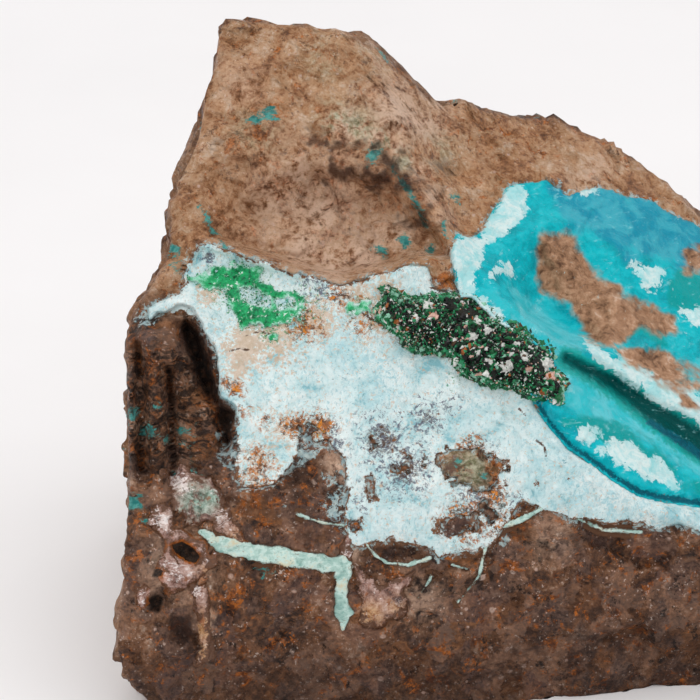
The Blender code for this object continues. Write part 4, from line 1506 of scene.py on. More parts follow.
@dataclass
class TurquoiseSlope(Skin):
    """The banded turquoise slope to the right of the druse, which runs on past the crest."""

    name: str = "turquoise_slope"
    look: Look = TurquoiseFinish()
    span: tuple[float, float, float, float] = (9, 53, -20.5, 18.5)
    step: float = 0.2
    border: Area = Area((
        (10, 8.8), (10.5, 11.8), (12.1, 11.4), (13.4, 12), (14.6, 14), (15.7, 15.9), (17.2, 16.6), (19.5, 17),
        (22, 15.4), (25, 16), (30, 15), (35, 12.2), (40, 8.6), (46, 2.6), (50, -4), (52, -11),
        (50, -17), *SEAM[::-1], (17, -3),
        (14, 0), (11, 4.5), (10.5, 6.5),
    ), 0.35, 2.0, 13)
    chalk_areas: tuple[Area, ...] = (
        Area(((10, 8.6), (10.6, 12), (12.1, 11.4), (13.4, 12), (14.6, 14.2), (15.7, 16.2), (17.2, 17),
              (18, 15.4), (17.2, 13.2), (15.4, 11.6), (13.6, 10), (13, 8), (12.6, 5.6), (15.6, 3.4),
              (18, 0.6), (15, 1), (11, 4))),
        Area(((13.7, 8.6), (16.2, 8.4), (16.4, 7.4), (14.2, 7.3))),
        Area(((23.6, 0.8), (27.5, -0.6), (31.5, -2.6), (35, -4.2), (44, -9), (50, -13.6),
              (46, -13.4), (38, -9.2), (35, -7.4), (31, -5.2), (27, -2.6), (24.5, -0.8))),
        Area(((22.5, -7.5), (24.4, -7.8), (25, -8.9), (24, -9.6), (22.6, -8.8))),
        Area(((24.5, -9.6), (26.4, -9), (29, -9.9), (30.6, -10.6), (31.6, -12.2), (33.2, -13.2),
              (32, -13.8), (30, -13), (27.4, -12), (25.4, -11))),
        Area(((28.4, 8.4), (31.6, 8.2), (31.4, 6), (29.4, 5.8))),
        Area(((33, 4), (36.6, 4.4), (37, 2.2), (33.6, 2))),
        Area(((22.4, 17.4), (24.8, 17.2), (24.6, 15.4), (22.8, 15.2))),
        Area(((40, -14.4), (44, -15), (46, -17), (42, -16.6))),
        Area(((38, 1), (43, -1), (46, -5.6), (42, -4.4))),
    )
    brown_areas: tuple[Area, ...] = (
        Area(((19, 11.5), (21.5, 11.2), (24, 8.2), (28, 5.2), (32.2, 3.2), (32.4, 1.8), (29, 1.6),
              (26.6, 0.6), (26, -0.2), (23.6, 1.8), (20.8, 4.6), (19.2, 6), (18.9, 8))),
        Area(((26.4, -0.2), (29.4, 0.6), (33, -1.2), (35.6, -3.4), (37, -5), (32, -3.4),
              (28, -1.6))),
        Area(((33.6, -4.6), (36.4, -5.8), (35.6, -6.6), (33.8, -5.4))),
        Area(((33.6, 10), (36, 10.4), (36.4, 7.6), (34, 7.8))),
        Area(((41, 5), (45, 1), (43, 0.4), (39.6, 4))),
    )

    def presence(self, across: Array, up: Array) -> Array:
        """Inside the border and off the druse."""
        inside = np.maximum(self.border.depth(across, up), Trail(SEAM, 0.5, 0.65).depth(across, up))
        return np.minimum(inside, 0.5 - DRUSE.depth(across, up))

    def thickness(self, across: Array, up: Array, presence: Array) -> Array:
        """A thin glassy layer, thicker where it is chalky, worn down to the brown island.

        Args:
            across, up: places on the show plane.
            presence: the distance inside the border.

        Returns:
            The thickness at each place.
        """
        plates = 0.35 * tilted_cells(flat_points(across, up, 1.0), 3.6, 113, 70.0)
        ripple = 0.10 * fractal(flat_points(across, up, 4.0), 1.2, 4, 114)
        chalk = smooth(within(self.chalk_areas, across, up), -0.2, 0.4)
        brown = smooth(within(self.brown_areas, across, up), -0.2, 0.5)
        grit = 0.35 * fractal(flat_points(across, up, 8.0), 1.6, 5, 115)
        rim = 0.3 * smooth(DRUSE.depth(across, up), -3.0, -0.8)
        return np.maximum(0.30 + rim + plates + ripple + 0.28 * chalk + brown * (grit + 0.15), 0.08)

    def marks(self, across: Array, up: Array, presence: Array) -> dict[str, Array]:
        """Distances inside each band and patch.

        Args:
            across, up: places on the show plane.
            presence: the distance inside the border.

        Returns:
            The distances, by name.
        """
        blue = (Area(((19.5, 17.5), (26, 17), (31, 16), (36, 12), (41, 8), (37, 7),
                      (31, 9), (26, 11), (22, 13.5))),
                Area(((19, -5.6), (21, -6), (23, -7.4), (23, -8.8), (21, -7.8))))
        light = (Area(((20.5, -1), (23, -1.6), (26.5, -4.6), (30, -7.6), (35, -11.6), (44, -16.4),
                       (38, -14.8), (30, -10), (25, -7.2), (20.6, -5.4))),
                 Area(((13, 6), (17, 5.4), (21, 3), (24, 0.6), (21, -0.6), (17, 1.4))),
                 Area(((34, -2), (40, -5), (47, -9), (44, -4), (38, 0))))
        teal = (Area(((20, -6), (24, -6.8), (29, -8.6), (34, -12.4), (40, -15.4), (36, -14.8),
                      (29, -11.2), (24, -8.6), (21, -7.8))),
                Area(((31.5, 7.6), (36, 7.8), (40, 4), (35, 3.6), (31.8, 4.2))),
                Area(((27.6, 3.6), (31, 3), (31.6, 0.6), (27, 1.2))))
        groove = Trail(((21.6, -0.9), (26.3, -3.3), (30.5, -6.3), (35, -9.3), (49, -16.6)), 0.45, 2.2)
        seam = Trail(SEAM, 0.16, 0.40)
        inner = Trail(((30, -7.2), (35, -10.4), (46, -16.2)), 0.3, 0.8)
        areas = {"blue": blue, "light": light, "teal": teal, "chalk": self.chalk_areas,
                 "brown": self.brown_areas}
        marks = {name: within(patches, across, up) for name, patches in areas.items()}
        # The groove whose dark band is painted shade.
        marks["deep"] = groove.depth(across, up)
        marks["ink"] = np.maximum(seam.depth(across, up), inner.depth(across, up))
        return {name: np.clip(values, -3.0, 3.0) for name, values in marks.items()}


@dataclass
class MalachiteShelf(Skin):
    """The green malachite on the shelf between the crest and the crust's lip."""

    name: str = "malachite_shelf"
    look: Look = MalachiteFinish()
    span: tuple[float, float, float, float] = (-17.5, 3.5, -1.5, 10.5)
    step: float = 0.1
    sink: float = 0.4
    edge: float = 0.3
    border: tuple[Area, ...] = (
        Area(((-16, 7.2), (-13.6, 8.4), (-11, 8.7), (-9, 8.2), (-8.8, 6.8), (-7.6, 6.2), (-5, 5.4),
              (-4.2, 4.2), (-5, 2.8), (-8, 2.4), (-10.6, 2.2), (-11.6, 3.6), (-12.4, 5.4),
              (-14, 6)), 0.55, 0.9, 21),
        Area(((-8.8, 1.6), (-6.8, 1.8), (-7.2, 0.8), (-8.2, 0.2)), 0.45, 0.7, 22),
        Area(((-1.4, 4.2), (0.4, 4.9), (2, 4.9), (2.4, 3.8), (0.6, 3.5)), 0.4, 0.7, 23),
    )
    inclusions: tuple[Area, ...] = (
        Area(((-11.1, 6.2), (-9.4, 6.1), (-8.2, 5.2), (-8, 4.2), (-9.6, 4.6), (-10.8, 5.2)), 0.2, 0.8, 24),
        Area(((-7.4, 5), (-5.8, 5.2), (-5.6, 4.4), (-7, 4.2)), 0.3, 0.7, 25),
    )

    def presence(self, across: Array, up: Array) -> Array:
        """Inside any of the green patches, outside the white lumps that stand in them."""
        return np.minimum(within(self.border, across, up), -within(self.inclusions, across, up))

    def thickness(self, across: Array, up: Array, presence: Array) -> Array:
        """Just proud of the crust, in soft tufts."""
        tufts = 0.16 * fractal(flat_points(across, up, 6.0), 0.7, 4, 121)
        return 0.62 + tufts + 0.25 * tilted_cells(flat_points(across, up, 1.0), 0.9, 122, 20.0)


@dataclass
class Veins(Skin):
    """Thin pale veins in the brown rock below the crust."""

    name: str = "pale_veins"
    look: Look = VeinFinish()
    span: tuple[float, float, float, float] = (-16.5, 30.5, -29, -14)
    step: float = 0.11
    sink: float = 0.35
    edge: float = 0.2
    trails: tuple[Trail, ...] = (
        Trail(((-14.9, -18.2), (-13.8, -18.9), (-12.6, -19.5)), 0.35, 0.85),
        Trail(((-12.6, -19.5), (-10.2, -20.1), (-7.7, -20.5), (-5.2, -20.9), (-2.7, -21.3), (-0.6, -21.5)),
              0.9, 0.85),
        Trail(((-0.7, -21.4), (-0.9, -24.4)), 0.88, 0.60),
        Trail(((-0.9, -24.4), (-0.7, -26.4)), 0.60, 0.85),
        Trail(((-0.6, -26.4), (-0.6, -27.9)), 0.85, 0.10),
        Trail(((-5.3, -16.4), (-2.7, -17.3), (-0.6, -17.5)), 0.16, 0.16),
        Trail(((1.4, -19.1), (2.6, -20.6), (3.8, -21.3), (5.8, -21.5), (8, -20.8)), 0.16, 0.24),
        Trail(((10.2, -21.5), (11.7, -21.9)), 0.12, 0.12),
        Trail(((8.2, -22.6), (6.8, -24.8)), 0.14, 0.1),
        Trail(((19.1, -15.9), (16.6, -17.2), (14.6, -17.8), (13.6, -19.6), (12.9, -22.6), (10.8, -25.2)),
              0.3, 0.1),
        Trail(((22.4, -16.7), (25.3, -18), (29.1, -18.2)), 0.16, 0.2),
    )

    def presence(self, across: Array, up: Array) -> Array:
        """Inside any of the veins, whose borders wander."""
        return np.max([trail.depth(across, up, min(0.34, 0.7 * trail.start), 31 + n)
                       for n, trail in enumerate(self.trails)], axis=0)

    def thickness(self, across: Array, up: Array, presence: Array) -> Array:
        """Just proud of the rock, crumbly."""
        return np.maximum(0.16 + 0.14 * fractal(flat_points(across, up, 7.0), 0.8, 4, 131), 0.04)


QUARTZ_BLOTCHES: Blotches = {
    "green": (
        (-15.2, -15.2, 2, 1), (-13.8, -14.6, 1.3, 1), (-16.6, -16.2, 1, 0.8),
    ),
    "ochre": (
        (2, -26.6, 1.4, 1), (4.6, -25.6, 1.2, 0.6), (-14.6, -27.6, 1.6, 1), (-14.6, -30.4, 1.4, 0.8),
        (-11.4, -18.9, 1.1, 0.6), (-14.2, -22.4, 1.1, 0.7),
    ),
    "frost": (
        (-17.2, -13, 1.3, 1), (-19, -17, 1.3, 1), (-12.6, -16.8, 1, 1), (-15.4, -24, 0.9, 0.9),
        (-0.6, -20.2, 1, 1), (-20.6, -24.6, 1, 0.8), (-17.4, -22.2, 1.4, 0.8), (-14.4, -20, 0.9, 0.7),
        (4.9, -25.6, 0.8, 0.5),
    ),
    "amber": (
        (-16.4, -20.2, 1.9, 1), (-19.4, -25.4, 1.3, 0.8), (-19.1, -22.3, 0.8, 0.8), (-11.4, -19.2, 1.2, 0.8),
    ),
}


@dataclass
class QuartzLumps(Skin):
    """Cloudy quartz at the lower left, around the pits."""

    name: str = "quartz_lumps"
    look: Look = QuartzFinish()
    span: tuple[float, float, float, float] = (-21.8, 7.4, -32, -11)
    step: float = 0.13
    sink: float = 0.45
    border: tuple[Area, ...] = (
        Area(((-18.2, -12.6), (-17, -11.4), (-15.6, -12.2), (-13.8, -13), (-12.4, -14.4), (-12.6, -16.4),
              (-14.4, -17.4), (-16.4, -17.4), (-17.6, -15.8)), 0.5, 1.1, 41),
        Area(((-19.8, -15.6), (-18.4, -15.2), (-17.4, -16.8), (-17.6, -18.6), (-18.2, -19.9), (-19.2, -18.6),
              (-20.1, -17.6)), 0.4, 0.9, 42),
        Area(((-17.6, -17.8), (-16, -18.2), (-13.9, -19.8), (-13.4, -21.4), (-14.4, -22.6), (-15.8, -23.6),
              (-17.6, -24.4), (-18.8, -23.6), (-19.4, -21.4), (-18.4, -20)), 0.45, 1.2, 43),
        Area(((-13.9, -16.2), (-12, -15.8), (-11.2, -17.4), (-10.2, -19.4), (-11.2, -19.9), (-12.8, -18.6),
              (-13.8, -17.6)), 0.3, 0.9, 44),
        Area(((-1.3, -19.6), (-0.1, -18.2), (0.3, -19.6), (0.2, -21.2), (-1, -21.2)), 0.25, 0.7, 45),
        Area(((0.4, -21.6), (3, -23.6), (6.4, -22.2), (5.8, -24.8), (5, -27), (2.6, -28), (0.7, -27),
              (0.6, -24)), 0.5, 1.1, 46),
        Area(((-15.9, -23.6), (-14.4, -23.2), (-13.8, -24.8), (-13.9, -28), (-13.9, -31.4), (-15.2, -31.4),
              (-15.4, -27.6), (-15.6, -25.2)), 0.35, 1, 47),
        Area(((-21.2, -23.8), (-20.2, -23.2), (-19.9, -24.6), (-20.4, -26), (-21.4, -25.6)), 0.35, 0.8, 48),
    )

    def presence(self, across: Array, up: Array) -> Array:
        """Inside any of the lumps, outside the pits."""
        return np.minimum(within(self.border, across, up), -within(PITS, across, up))

    def thickness(self, across: Array, up: Array, presence: Array) -> Array:
        """Blocky, with small flat breaks."""
        blocks = 0.75 * tilted_cells(flat_points(across, up, 3.0), 1.5, 142, 55.0)
        lumps = 0.30 + blocks + 0.10 * fractal(flat_points(across, up, 2.0), 0.8, 3, 143)
        return 0.03 + np.maximum(lumps, 0.05) * smooth(presence, 0.0, 0.9)

    def marks(self, across: Array, up: Array, presence: Array) -> dict[str, Array]:
        """Where the quartz is greenish, ochre, frosted white or rimmed with amber."""
        return blotches(across, up, QUARTZ_BLOTCHES)


# ---- rock and grains ----


ROCK_BLOTCHES: Blotches = {
    "teal": (
        (-21.8, -6.6, 0.9, 1), (-20.2, -8, 0.9, 1), (-19.2, -5.6, 0.5, 0.8), (-16.2, -8.6, 1.2, 0.9),
        (-22.2, -15.2, 1, 1.3), (-21.2, -15.2, 0.7, 1.2), (-17.5, 9.8, 1, 1), (-17.2, 8.6, 1.2, 0.8),
        (3, 10, 0.9, 1.1), (5.5, 10.8, 0.8, 1.3), (8.1, 10.1, 0.6, 1.3), (2.4, 19.4, 1.6, 0.7),
        (10.7, -11.5, 0.6, 1.3), (13.2, -12.4, 0.6, 1.2), (10.6, 15, 0.8, 0.8), (-22.2, 3, 0.7, 0.5),
        (-16.4, -12.4, 1.4, 0.9), (-8.4, -21.9, 1.1, 1), (-9.6, 3.2, 0.5, 0.5), (-18.6, -9, 0.6, 1),
        (-20.4, -17, 0.5, 0.9),
    ),
    "pink": (
        (0.1, -20, 0.9, 1), (-1.2, -11.8, 1.2, 1.2), (23.5, 16.5, 1.6, 0.8), (25, 18.5, 1.4, 0.7),
        (4.6, 23.8, 3, 1.2), (7.4, 22.4, 2.4, 1), (-4.6, 10.2, 2, 1.3), (1.4, 9.8, 2.2, 1.3),
        (5, 11.6, 1.6, 1.1), (-3, 13.6, 2.6, 1.1), (-0.4, 22.6, 1.9, 1.2), (2.6, 21.4, 1.4, 1.1),
        (5, 20, 1.2, 1), (7, 18, 1.2, 1), (8.2, 15.6, 1.1, 0.9), (9.4, 13.2, 1, 0.8), (-5.2, 17.9, 1.9, 1.1),
        (-1.8, 8.8, 2.2, 1.2), (-8, 15, 3, 0.8), (2.6, 11.6, 2.4, 0.8), (4.6, 30.4, 3, 0.6), (8, 26, 3, 0.6),
        (-17, -22, 3, 0.6), (-11, 26.5, 2.4, 0.5), (-4, 14, 7, 0.75), (7, -25, 2, 0.5), (20, -19, 2, 0.4),
        (-14.3, -27, 1, 0.8), (0, -11.6, 0.9, 0.8),
    ),
    "rust": (
        (-9, -14.4, 2.2, 0.8), (-14.6, -23.4, 1.8, 0.8), (-11.6, -24, 2.6, 0.6), (-21.4, -10, 1.6, 0.7),
        (-20.4, -1.4, 0.9, 1.3), (-22, -20.5, 1.3, 1), (-8, -12.4, 1, 0.7), (-6.8, 16.8, 2.2, 0.7),
        (-14.6, -5.4, 1.2, 0.7), (-5.6, -22.4, 2, 0.4), (-18.4, -4, 1.2, 0.5), (16.8, -17.4, 2, 0.6),
        (14.4, -11.2, 1.2, 0.7), (-10.4, 21, 3, 0.5), (0.4, 12.6, 3.2, 0.4), (9.4, 7.2, 0.8, 0.9),
    ),
    # Darker blotches, to which marks() adds painted shade under the brow, in the recess, in the oval pit and
    # at the foot.
    "shade_and_dark": (
        (-22.4, -20, 1.4, 0.5), (-9.2, -21.8, 1, 0.5), (-5.4, -12.6, 2.4, 0.5), (-8.4, -15.6, 2.6, 0.4),
        (-4, -18.6, 2, 0.4), (-19.8, -8, 0.8, 0.5), (9.2, 18.4, 1.3, 0.4),
    ),
    "olive": (
        (11.8, -11.6, 2.4, 0.9), (3.2, 31.4, 2.2, 0.8), (-1.6, 23.2, 1.6, 0.9), (0.8, 22.4, 1.6, 0.9),
        (3, 20.8, 1.5, 0.9), (5.2, 18.8, 1.2, 0.8), (-9.6, 22, 2, 0.5), (9, 20, 1.6, 0.5), (-2.6, 29, 2, 0.4),
    ),
    "near": (
        (-2.4, -15.4, 1.5, 2.5), (-1, -15, 1, 2.4), (-2.6, -12.8, 1.3, 2.2), (-13.4, -8.6, 1, 2.2),
        (-4.6, -10.2, 1.4, 2.3), (-3.2, -17.2, 0.9, 2.2), (-8.6, -17.4, 0.5, 2.4), (-6.6, -15.6, 0.5, 2.6),
        (-21, 3.2, 0.9, 2.2), (15.4, -19, 0.8, 1.8), (-12.6, -10.4, 1.2, 2.4),
    ),
}


@dataclass
class RockBody:
    """The brown rock itself, one closed mesh that everything else lies on.

    Attributes:
        form: the stone's form.
        skins: what lies on it, so that it keeps below them.
        cells: how many cells a side of its blown-up cube has.
        flute_spacing: the spacing of the flutes on the columns at the left.
        flute_height: how far they stand out.
        back_sink: how far the back is drawn in.
    """

    form: StoneForm
    skins: list[Skin]
    cells: int = 127
    flute_spacing: float = 1.15
    flute_height: float = 0.16
    back_sink: float = 0.45

    def grit(self, points: Array) -> Array:
        """Fine unevenness: noise at two sizes, small flat breaks and ridges where noise crosses zero."""
        ridged = 1.0 - 2.2 * np.abs(fractal(points, 3.0, 4, 52))
        breaks = 0.55 * tilted_cells(points, 2.2, 54, 24.0)
        return (0.30 * fractal(points, 2.4, 5, 50) + 0.16 * ridged + breaks
                + 0.9 * tilted_cells(points, 5.0, 59, 24.0))

    def cover(self, across: Array, up: Array) -> Array:
        """How far the rock is covered by the skins, 0 to 1."""
        presence = np.max([skin.presence(across, up) for skin in self.skins], axis=0)
        return smooth(presence, -0.15, 0.15)

    def marks(self, across: Array, up: Array, facing: Array) -> dict[str, Array]:
        """Where the rock is stained, rusty, pinkish or under the druse, and where light and shade are painted
        on it.

        Args:
            across, up: places on the show plane.
            facing: how far each place faces the eye.

        Returns:
            The values, by name.
        """
        values = blotches(across, up, ROCK_BLOTCHES)
        # Painted shade: the hollow is darkened, less so on the tongue.
        hollow = smooth(self.form.hollow.depth(across, up), -0.4, 1.4)
        hollow = hollow * (1.0 - 0.95 * smooth(self.form.tongue_height(across, up), 0.4, 4.6))
        wedge = Area(((-11.2, 22.6), (-9.2, 23.6), (-7.4, 24.9), (-6.9, 22.7)), 0.2, 1, 61)
        teal = np.maximum(values["teal"], smooth(wedge.depth(across, up), -0.2, 0.3) * 1.3)
        for trail in (Trail(((-14.9, 14.2), (-13.6, 11.8), (-12.4, 10.2)), 0.3, 0.4),
                      Trail(((4.2, 18.2), (6, 15.7), (7.2, 13.7), (7.5, 12.2)), 0.25, 0.35),
                      Trail(((9.6, 11.4), (9.4, 12.8)), 0.3, 0.2)):
            teal = np.maximum(teal, smooth(trail.depth(across, up), -0.4, 0.3))
        druse = smooth(self.form.druse.depth(across, up), -0.5, 0.1)
        # Painted shade in the oval pit.
        oval_pit_shade = Area(((2, -19.6), (5, -19.4), (8, -20), (6.4, -20.9), (3.4, -20.9)))
        # Painted shade: darker towards the bottom, for the unlit underside.
        foot_shade = smooth(-up, 24.5 - 0.11 * across, 33.0 - 0.11 * across)
        # Painted shade in the recess at the lower left.
        recess_shade = Area(((-17.9, -26.2), (-16.4, -25.7), (-15.5, -26.3), (-15.4, -28.6), (-16.2, -30.4),
                       (-17.6, -29.4), (-18.6, -27.6)), 0.4, 1.2, 66)
        # Painted shadow: a dark band along the bowl's brow, where its overhang casts shade.
        edge = Trail(((-3, 20.9), (0, 20.6), (2, 20.2), (4.4, 18.4), (6.4, 15.6), (7.2, 13)), 0.2, 0.5)
        fold = Trail(((-1.4, 17.6), (1, 17.4), (3.6, 17.2)), 0.7, 0.7)
        brow = np.maximum(edge.depth(across, up, 2.0), fold.depth(across, up, 2.0))
        # Painted shade, joined with the darker blotches.
        shade_and_dark = np.max([values["shade_and_dark"], 0.7 * smooth(recess_shade.depth(across, up), -0.4, 0.8),
                       0.78 * smooth(brow, -2.0, 1.1),
                       0.55 * smooth(oval_pit_shade.depth(across, up), -0.3, 0.4), 0.45 * foot_shade], axis=0)
        # Painted shade in the hollow and the pits.
        hole_shade = np.maximum(hollow, smooth(within(PITS, across, up), -0.5, -0.1))
        seam = smooth(Trail(SEAM, 0.6, 0.7).depth(across, up), -0.3, 0.2)
        bands = smooth(-across, 10.5, 12.5) * smooth(-up, -2.0, 1.0) * smooth(up, -13.0, -10.0)
        near = np.max([skin.presence(across, up) for skin in self.skins[:2]], axis=0) + values.pop("near")
        values |= {"shade_and_dark": shade_and_dark, "teal": teal, "druse": np.maximum(druse, seam), "bands": bands, "hole_shade": hole_shade}
        values = {name: value * facing for name, value in values.items()}
        values["back"] = 1.0 - facing
        # Paler towards the top: partly the rock's own tone, partly painted light from above.
        values["light"] = smooth(up, 2.0, 8.0) * facing + 0.45 * (1.0 - facing)
        values["near"] = np.where(facing > 0.5, np.clip(near, -3.0, 0.0), -3.0)
        return values

    def build(self) -> bpy.types.Object:
        """Work the rock out on the blown-up cube and stand it in for the solid.

        Returns:
            The new piece.
        """
        form, plane = self.form, self.form.plane
        directions, quads = form.ball(self.cells)
        points = form.outlined(np.array(form.core) + directions * form.radius(directions)[:, None])
        across, up, _ = plane.sight(points)
        facing = form.facing(directions)
        rays = plane.rays(points)
        cover = self.cover(across, up) * facing
        grit = self.grit(points) * (1.0 - cover)
        flutes = np.cos((across + 0.25 * fractal(points, 3.0, 3, 57)) * 2.0 * math.pi / self.flute_spacing)
        columns = smooth(-across, 17.5, 19.0) * smooth(up, -15.0, -12.0) * smooth(-up, -3.0, 1.0)
        grit = grit + self.flute_height * flutes * columns * facing - self.back_sink * (1.0 - facing)
        outward = unit_rows(directions * (1.0 - facing)[:, None] - rays * facing[:, None])
        points = points + outward * grit[:, None]
        points = points - rays * (facing * (form.relief(across, up) - 0.25 * cover))[:, None]
        points[:, 2] = np.maximum(points[:, 2], 0.0)
        marks = self.marks(across, up, facing)
        piece = make_piece("matrix_rock", points, quads, MatrixFinish().material(), marks)
        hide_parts(ROCK_NODE)
        return piece


@dataclass
class CrystalCrop:
    """Many small crystals set at random into an area of the front.

    Each is a six-sided double pyramid of twelve faces, stretched, turned and sunk by its own random
    numbers.

    Attributes:
        name: the piece's name.
        area: where they grow.
        count: how many are tried; those outside the area are dropped.
        sizes: the least and the greatest half-length.
        proud: how far their middles stand above the stone's relief, least and greatest.
        look: their finish.
        plain: the highest kind that grows everywhere; the rest stand in the glints or alone.
        strays: the share of the crystals that are of the rarer kinds.
        glints: spots where larger crystals of one rarer kind stand, the kind as their height.
        gaps: spots that are left free.
        seed: which random numbers.
        lump_height: how high the lumps are that the crystals stand on.
        lump_size: the length of those lumps.
        rim_level: where along 0 to 1 the area's rim starts, with its paler kinds.
        glint_half: the half-length that a glint's crystals have beside half its radius.
    """

    name: str
    area: Area
    count: int
    sizes: Pair
    proud: Pair
    look: Look
    plain: float = 1.0
    strays: float = 0.0
    glints: tuple[Spot, ...] = ()
    gaps: tuple[Spot, ...] = ()
    seed: int = 1
    lump_height: float = 0.60
    lump_size: float = 1.6
    rim_level: float = 0.45
    glint_half: float = 0.30

    def build(self, form: StoneForm) -> bpy.types.Object:
        """Scatter the crystals and join them into one piece.

        Args:
            form: the stone that they grow on.

        Returns:
            The new piece.
        """
        rng = np.random.default_rng(self.seed)
        corners = np.array(self.area.corners)
        across, up = rng.uniform(corners.min(axis=0) - 0.3, corners.max(axis=0) + 0.3, (self.count, 2)).T
        kept = self.area.depth(across, up) > -0.1
        for gap in self.gaps:
            kept &= np.hypot(across - gap.place[0], up - gap.place[1]) > 0.9 * gap.radius
        across, up = across[kept], up[kept]
        count = len(across)
        base = form.plane.place(across, up, form.surface_depth(across, up))
        lumps = self.lump_height * fractal(flat_points(across, up, 2.0), self.lump_size, 4, self.seed + 5)
        lift = form.relief(across, up) + lumps + rng.uniform(*self.proud, size=count)
        middles = base - form.plane.rays(base) * lift[:, None]
        angles = np.arange(6) * math.pi / 3.0
        ring = np.stack([np.cos(angles), np.sin(angles), np.zeros(6)], axis=1)
        shape = np.concatenate([ring, [[0.0, 0.0, 1.0], [0.0, 0.0, -1.0]]])
        next_corner = (np.arange(6) + 1) % 6
        upper = np.stack([np.arange(6), next_corner, np.full(6, 6)], axis=1)
        lower = np.stack([next_corner, np.arange(6), np.full(6, 7)], axis=1)
        shape = shape[None] * rng.uniform(0.75, 1.25, (count, 8, 1))
        half = rng.uniform(*self.sizes, size=count) * rng.uniform(0.6, 1.0, count)
        kind = rng.uniform(0.0, 1.0, count) ** 0.8
        rim = smooth(self.area.depth(across, up), 1.3,
                     0.2) + 0.6 * fractal(flat_points(across, up), 1.8, 3, 77)
        kind = self.plain * np.where(rim > self.rim_level, 0.36 + 0.62 * kind, 0.9 * kind ** 1.7)
        for glint in self.glints:
            near = np.hypot(across - glint.place[0], up - glint.place[1]) < 0.5 * glint.radius
            kind = np.where(near, glint.height + 0.03 * kind, kind)
            half = np.where(near, self.glint_half + 0.5 * glint.radius, half)
        stray = rng.uniform(size=count)
        kind = np.where(stray < self.strays, self.plain + (1.0 - self.plain) * stray / self.strays, kind)
        scale = np.stack([half * rng.uniform(0.5, 0.95, count), half * rng.uniform(0.5, 0.95, count),
                          half * rng.uniform(0.8, 1.5, count)], axis=1)
        turns = self.turns(rng.normal(size=(count, 4)))
        points = np.einsum("nij,nkj->nki", turns, shape * scale[:, None]) + middles[:, None]
        faces = np.concatenate([upper, lower])[None] + (np.arange(count) * 8)[:, None, None]
        return make_piece(self.name, points.reshape(-1, 3), faces.reshape(-1, 3), self.look.material(),
                          {"kind": np.repeat(kind, 8)}, False)

    def turns(self, quaternions: Array) -> Array:
        """Rotation matrices from rows of four numbers, each row taken at length one as w, x, y, z.

        Args:
            quaternions: one row of four for each turn.

        Returns:
            One three by three matrix for each.
        """
        w, x, y, z = unit_rows(quaternions).T
        rows = [1 - 2 * (y * y + z * z), 2 * (x * y - z * w), 2 * (x * z + y * w),
                2 * (x * y + z * w), 1 - 2 * (x * x + z * z), 2 * (y * z - x * w),
                2 * (x * z - y * w), 2 * (y * z + x * w), 1 - 2 * (x * x + y * y)]
        return np.stack(rows, axis=1).reshape(-1, 3, 3)


# ---- studio ----


@dataclass(frozen=True)
class Studio:
    """A pale floor, a large soft lamp, a small bright one, an even sky and the camera.

    Attributes:
        plane: the show plane, which the camera looks straight at.
        half_width: half the width that the camera sees at the show plane.
        floor_half: half the floor's side, in metres.
        sensor_width: the width of the camera's sensor.
        sky: the even sky's colour.
        sky_strength: how bright it is.
    """

    plane: ShowPlane
    half_width: float = 35.0
    floor_half: float = 3.0
    sensor_width: float = 36.0
    sky: Colour = (1, 0.985, 0.99, 1)
    sky_strength: float = 0.91

    def floor(self) -> None:
        """Lay the floor, a square of two triangles under the stone."""
        half = self.floor_half
        mesh = bpy.data.meshes.new("floor")
        corners = [(-half, -half, 0.0), (half, -half, 0.0), (half, half, 0.0), (-half, half, 0.0)]
        mesh.from_pydata(corners, [], [(0, 1, 2, 3)])
        f = Finish("pale_floor", 0.6, 0.3)
        grain = f.noise(2.0, 3.0)
        f.colour = f.ramp(f.noise(60.0, 3.0), [(0.3, tone(239, 238, 238)), (0.7, tone(243, 242, 242))])
        mesh.materials.append(f.dress(f.bump(grain, 0.01)))
        linked("floor", mesh)

    def lamp(self, name: str, place: Triple, size: float, power: float, colour: Triple) -> None:
        """Hang a square lamp that faces the stone.

        Args:
            name: the lamp's name.
            place: where it hangs, in metres.
            size: its side, in metres.
            power: its power, in watts.
            colour: its light's colour.
        """
        light = bpy.data.lights.new(name, "AREA")
        light.energy = power
        light.size = size
        light.color = colour
        lamp = linked(name, light)
        lamp.location = place
        lamp.rotation_euler = (Vector((0, 0, 0.03)) - lamp.location).to_track_quat("-Z", "Y").to_euler()

    def light(self) -> None:
        """An even sky, a large lamp from above and a small one from the front left for the glints."""
        world = bpy.data.worlds.new("studio")
        world.use_nodes = True
        sky = world.node_tree.nodes["Background"]
        sky.inputs["Color"].default_value = self.sky
        sky.inputs["Strength"].default_value = self.sky_strength
        bpy.context.scene.world = world
        self.lamp("key", (0.10, 0.04, 0.50), 0.35, 0.36, (1, 0.985, 0.97))
        self.lamp("spark", (-0.16, -0.34, 0.36), 0.06, 0.42, (1, 0.99, 0.98))

    def camera(self) -> None:
        """Stand the camera at the eye, looking straight at the show plane's centre."""
        lens = bpy.data.cameras.new("camera")
        lens.sensor_width = self.sensor_width
        lens.lens = self.sensor_width / 2.0 * self.plane.eye_distance / self.half_width
        lens.clip_start = 0.01
        lens.clip_end = 20.0
        camera = linked("camera", lens)
        camera.location = (self.plane.eye - np.array(FOOTPRINT_MIDDLE)) * MM
        camera.rotation_euler = Vector(self.plane.away).to_track_quat("-Z", "Y").to_euler()
        bpy.context.scene.camera = camera

    def build(self) -> None:
        """Set up the floor, the lamps, the camera and plain colours."""
        self.floor()
        self.light()
        self.camera()
        bpy.context.scene.view_settings.view_transform = "Standard"
        LOG.info("studio: floor, lamps and camera")


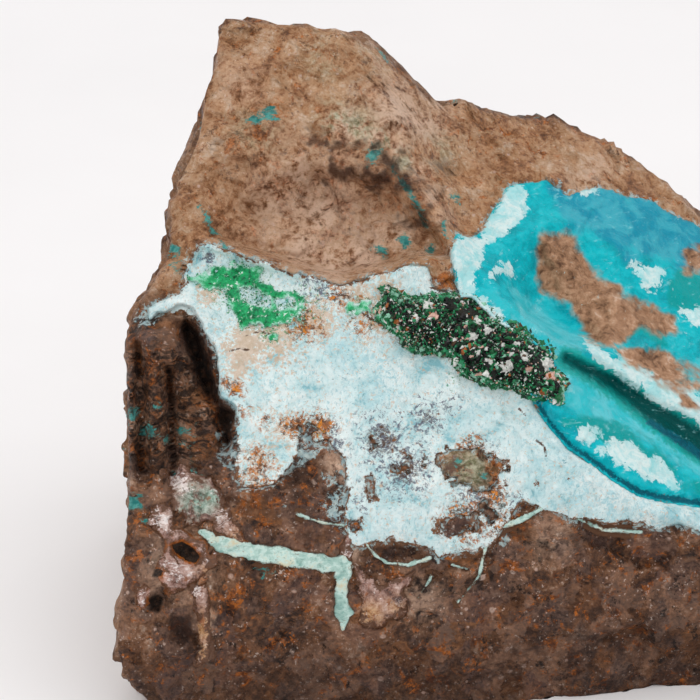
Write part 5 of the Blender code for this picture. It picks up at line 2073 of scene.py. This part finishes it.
def crops(form: StoneForm) -> list[CrystalCrop]:
    """The crystals of the druse and of the malachite.

    Args:
        form: the stone that they grow on.

    Returns:
        The crops, in the order they are built.
    """
    druse = GrainFinish("druse_crystals", (
        (0.0, tone(5, 8, 7)), (0.22, tone(34, 26, 18)), (0.27, tone(8, 58, 34)), (0.42, tone(14, 112, 62)),
        (0.58, tone(48, 156, 104)), (0.68, tone(150, 212, 182)), (0.77, tone(100, 72, 50)),
        (0.82, tone(236, 238, 232)), (0.94, tone(242, 196, 178)), (0.98, tone(184, 106, 54))), 0.3)
    green = GrainFinish("malachite_crystals", ((0.0, tone(10, 132, 76)), (0.3, tone(18, 160, 96)),
                                               (0.6, tone(70, 184, 136)), (0.9, tone(10, 66, 44)),
                                               (0.93, tone(206, 232, 218))), 0.35)
    glints = tuple(Spot((x, y), radius, kind) for x, y, radius, kind in (
        (6.6, 3.1, 0.45, 0.90), (8.5, 3.4, 0.45, 0.955), (13.7, 1.7, 0.6, 0.90), (11.4, -0.1, 0.40, 0.985),
        (15.8, -1.6, 0.7, 0.90), (17.9, -1.9, 0.45, 0.955), (19.5, -1.6, 0.7, 0.90), (20, -2.8, 0.55, 0.955),
        (17.4, -0.8, 0.5, 0.90), (7.8, 4.2, 0.55, 0.90), (12.2, 1.2, 0.5, 0.90), (12.6, 3, 0.35, 0.90),
        (14.2, 3.3, 0.35, 0.985), (13.8, -1.2, 0.45, 0.90), (19.2, -4.2, 0.40, 0.985), (10.4, 1, 0.25, 0.90),
        (15.2, 0.4, 0.25, 0.90), (5, 2.4, 0.25, 0.90)))
    return [CrystalCrop("druse_grains", form.druse, 20000, (0.22, 0.55), (-0.1, 0.35), druse, 0.8, 0.12,
                        glints, (), 5), CrystalCrop("druse_dust", form.druse, 14000, (0.10, 0.22),
                                                    (0.25, 0.55), druse, 0.8, 0.13, (), glints, 6),
            CrystalCrop("malachite_grains", MalachiteShelf.border[0], 2600, (0.06, 0.13), (0.5, 0.68), green,
                        0.9, 0.1, (), (), 7)]


def main() -> None:
    """Build the stone and everything on it, then the studio."""
    form = StoneForm()
    skins: list[Skin] = [PaleCrust(), TurquoiseSlope(), MalachiteShelf(), Veins(), QuartzLumps()]
    RockBody(form, skins).build()
    for skin in skins:
        skin.build(form)
    for crop in crops(form):
        crop.build(form)
    Studio(form.plane).build()


if __name__ == "__main__":
    logging.basicConfig(level=logging.INFO, format="%(message)s")
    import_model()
    main()
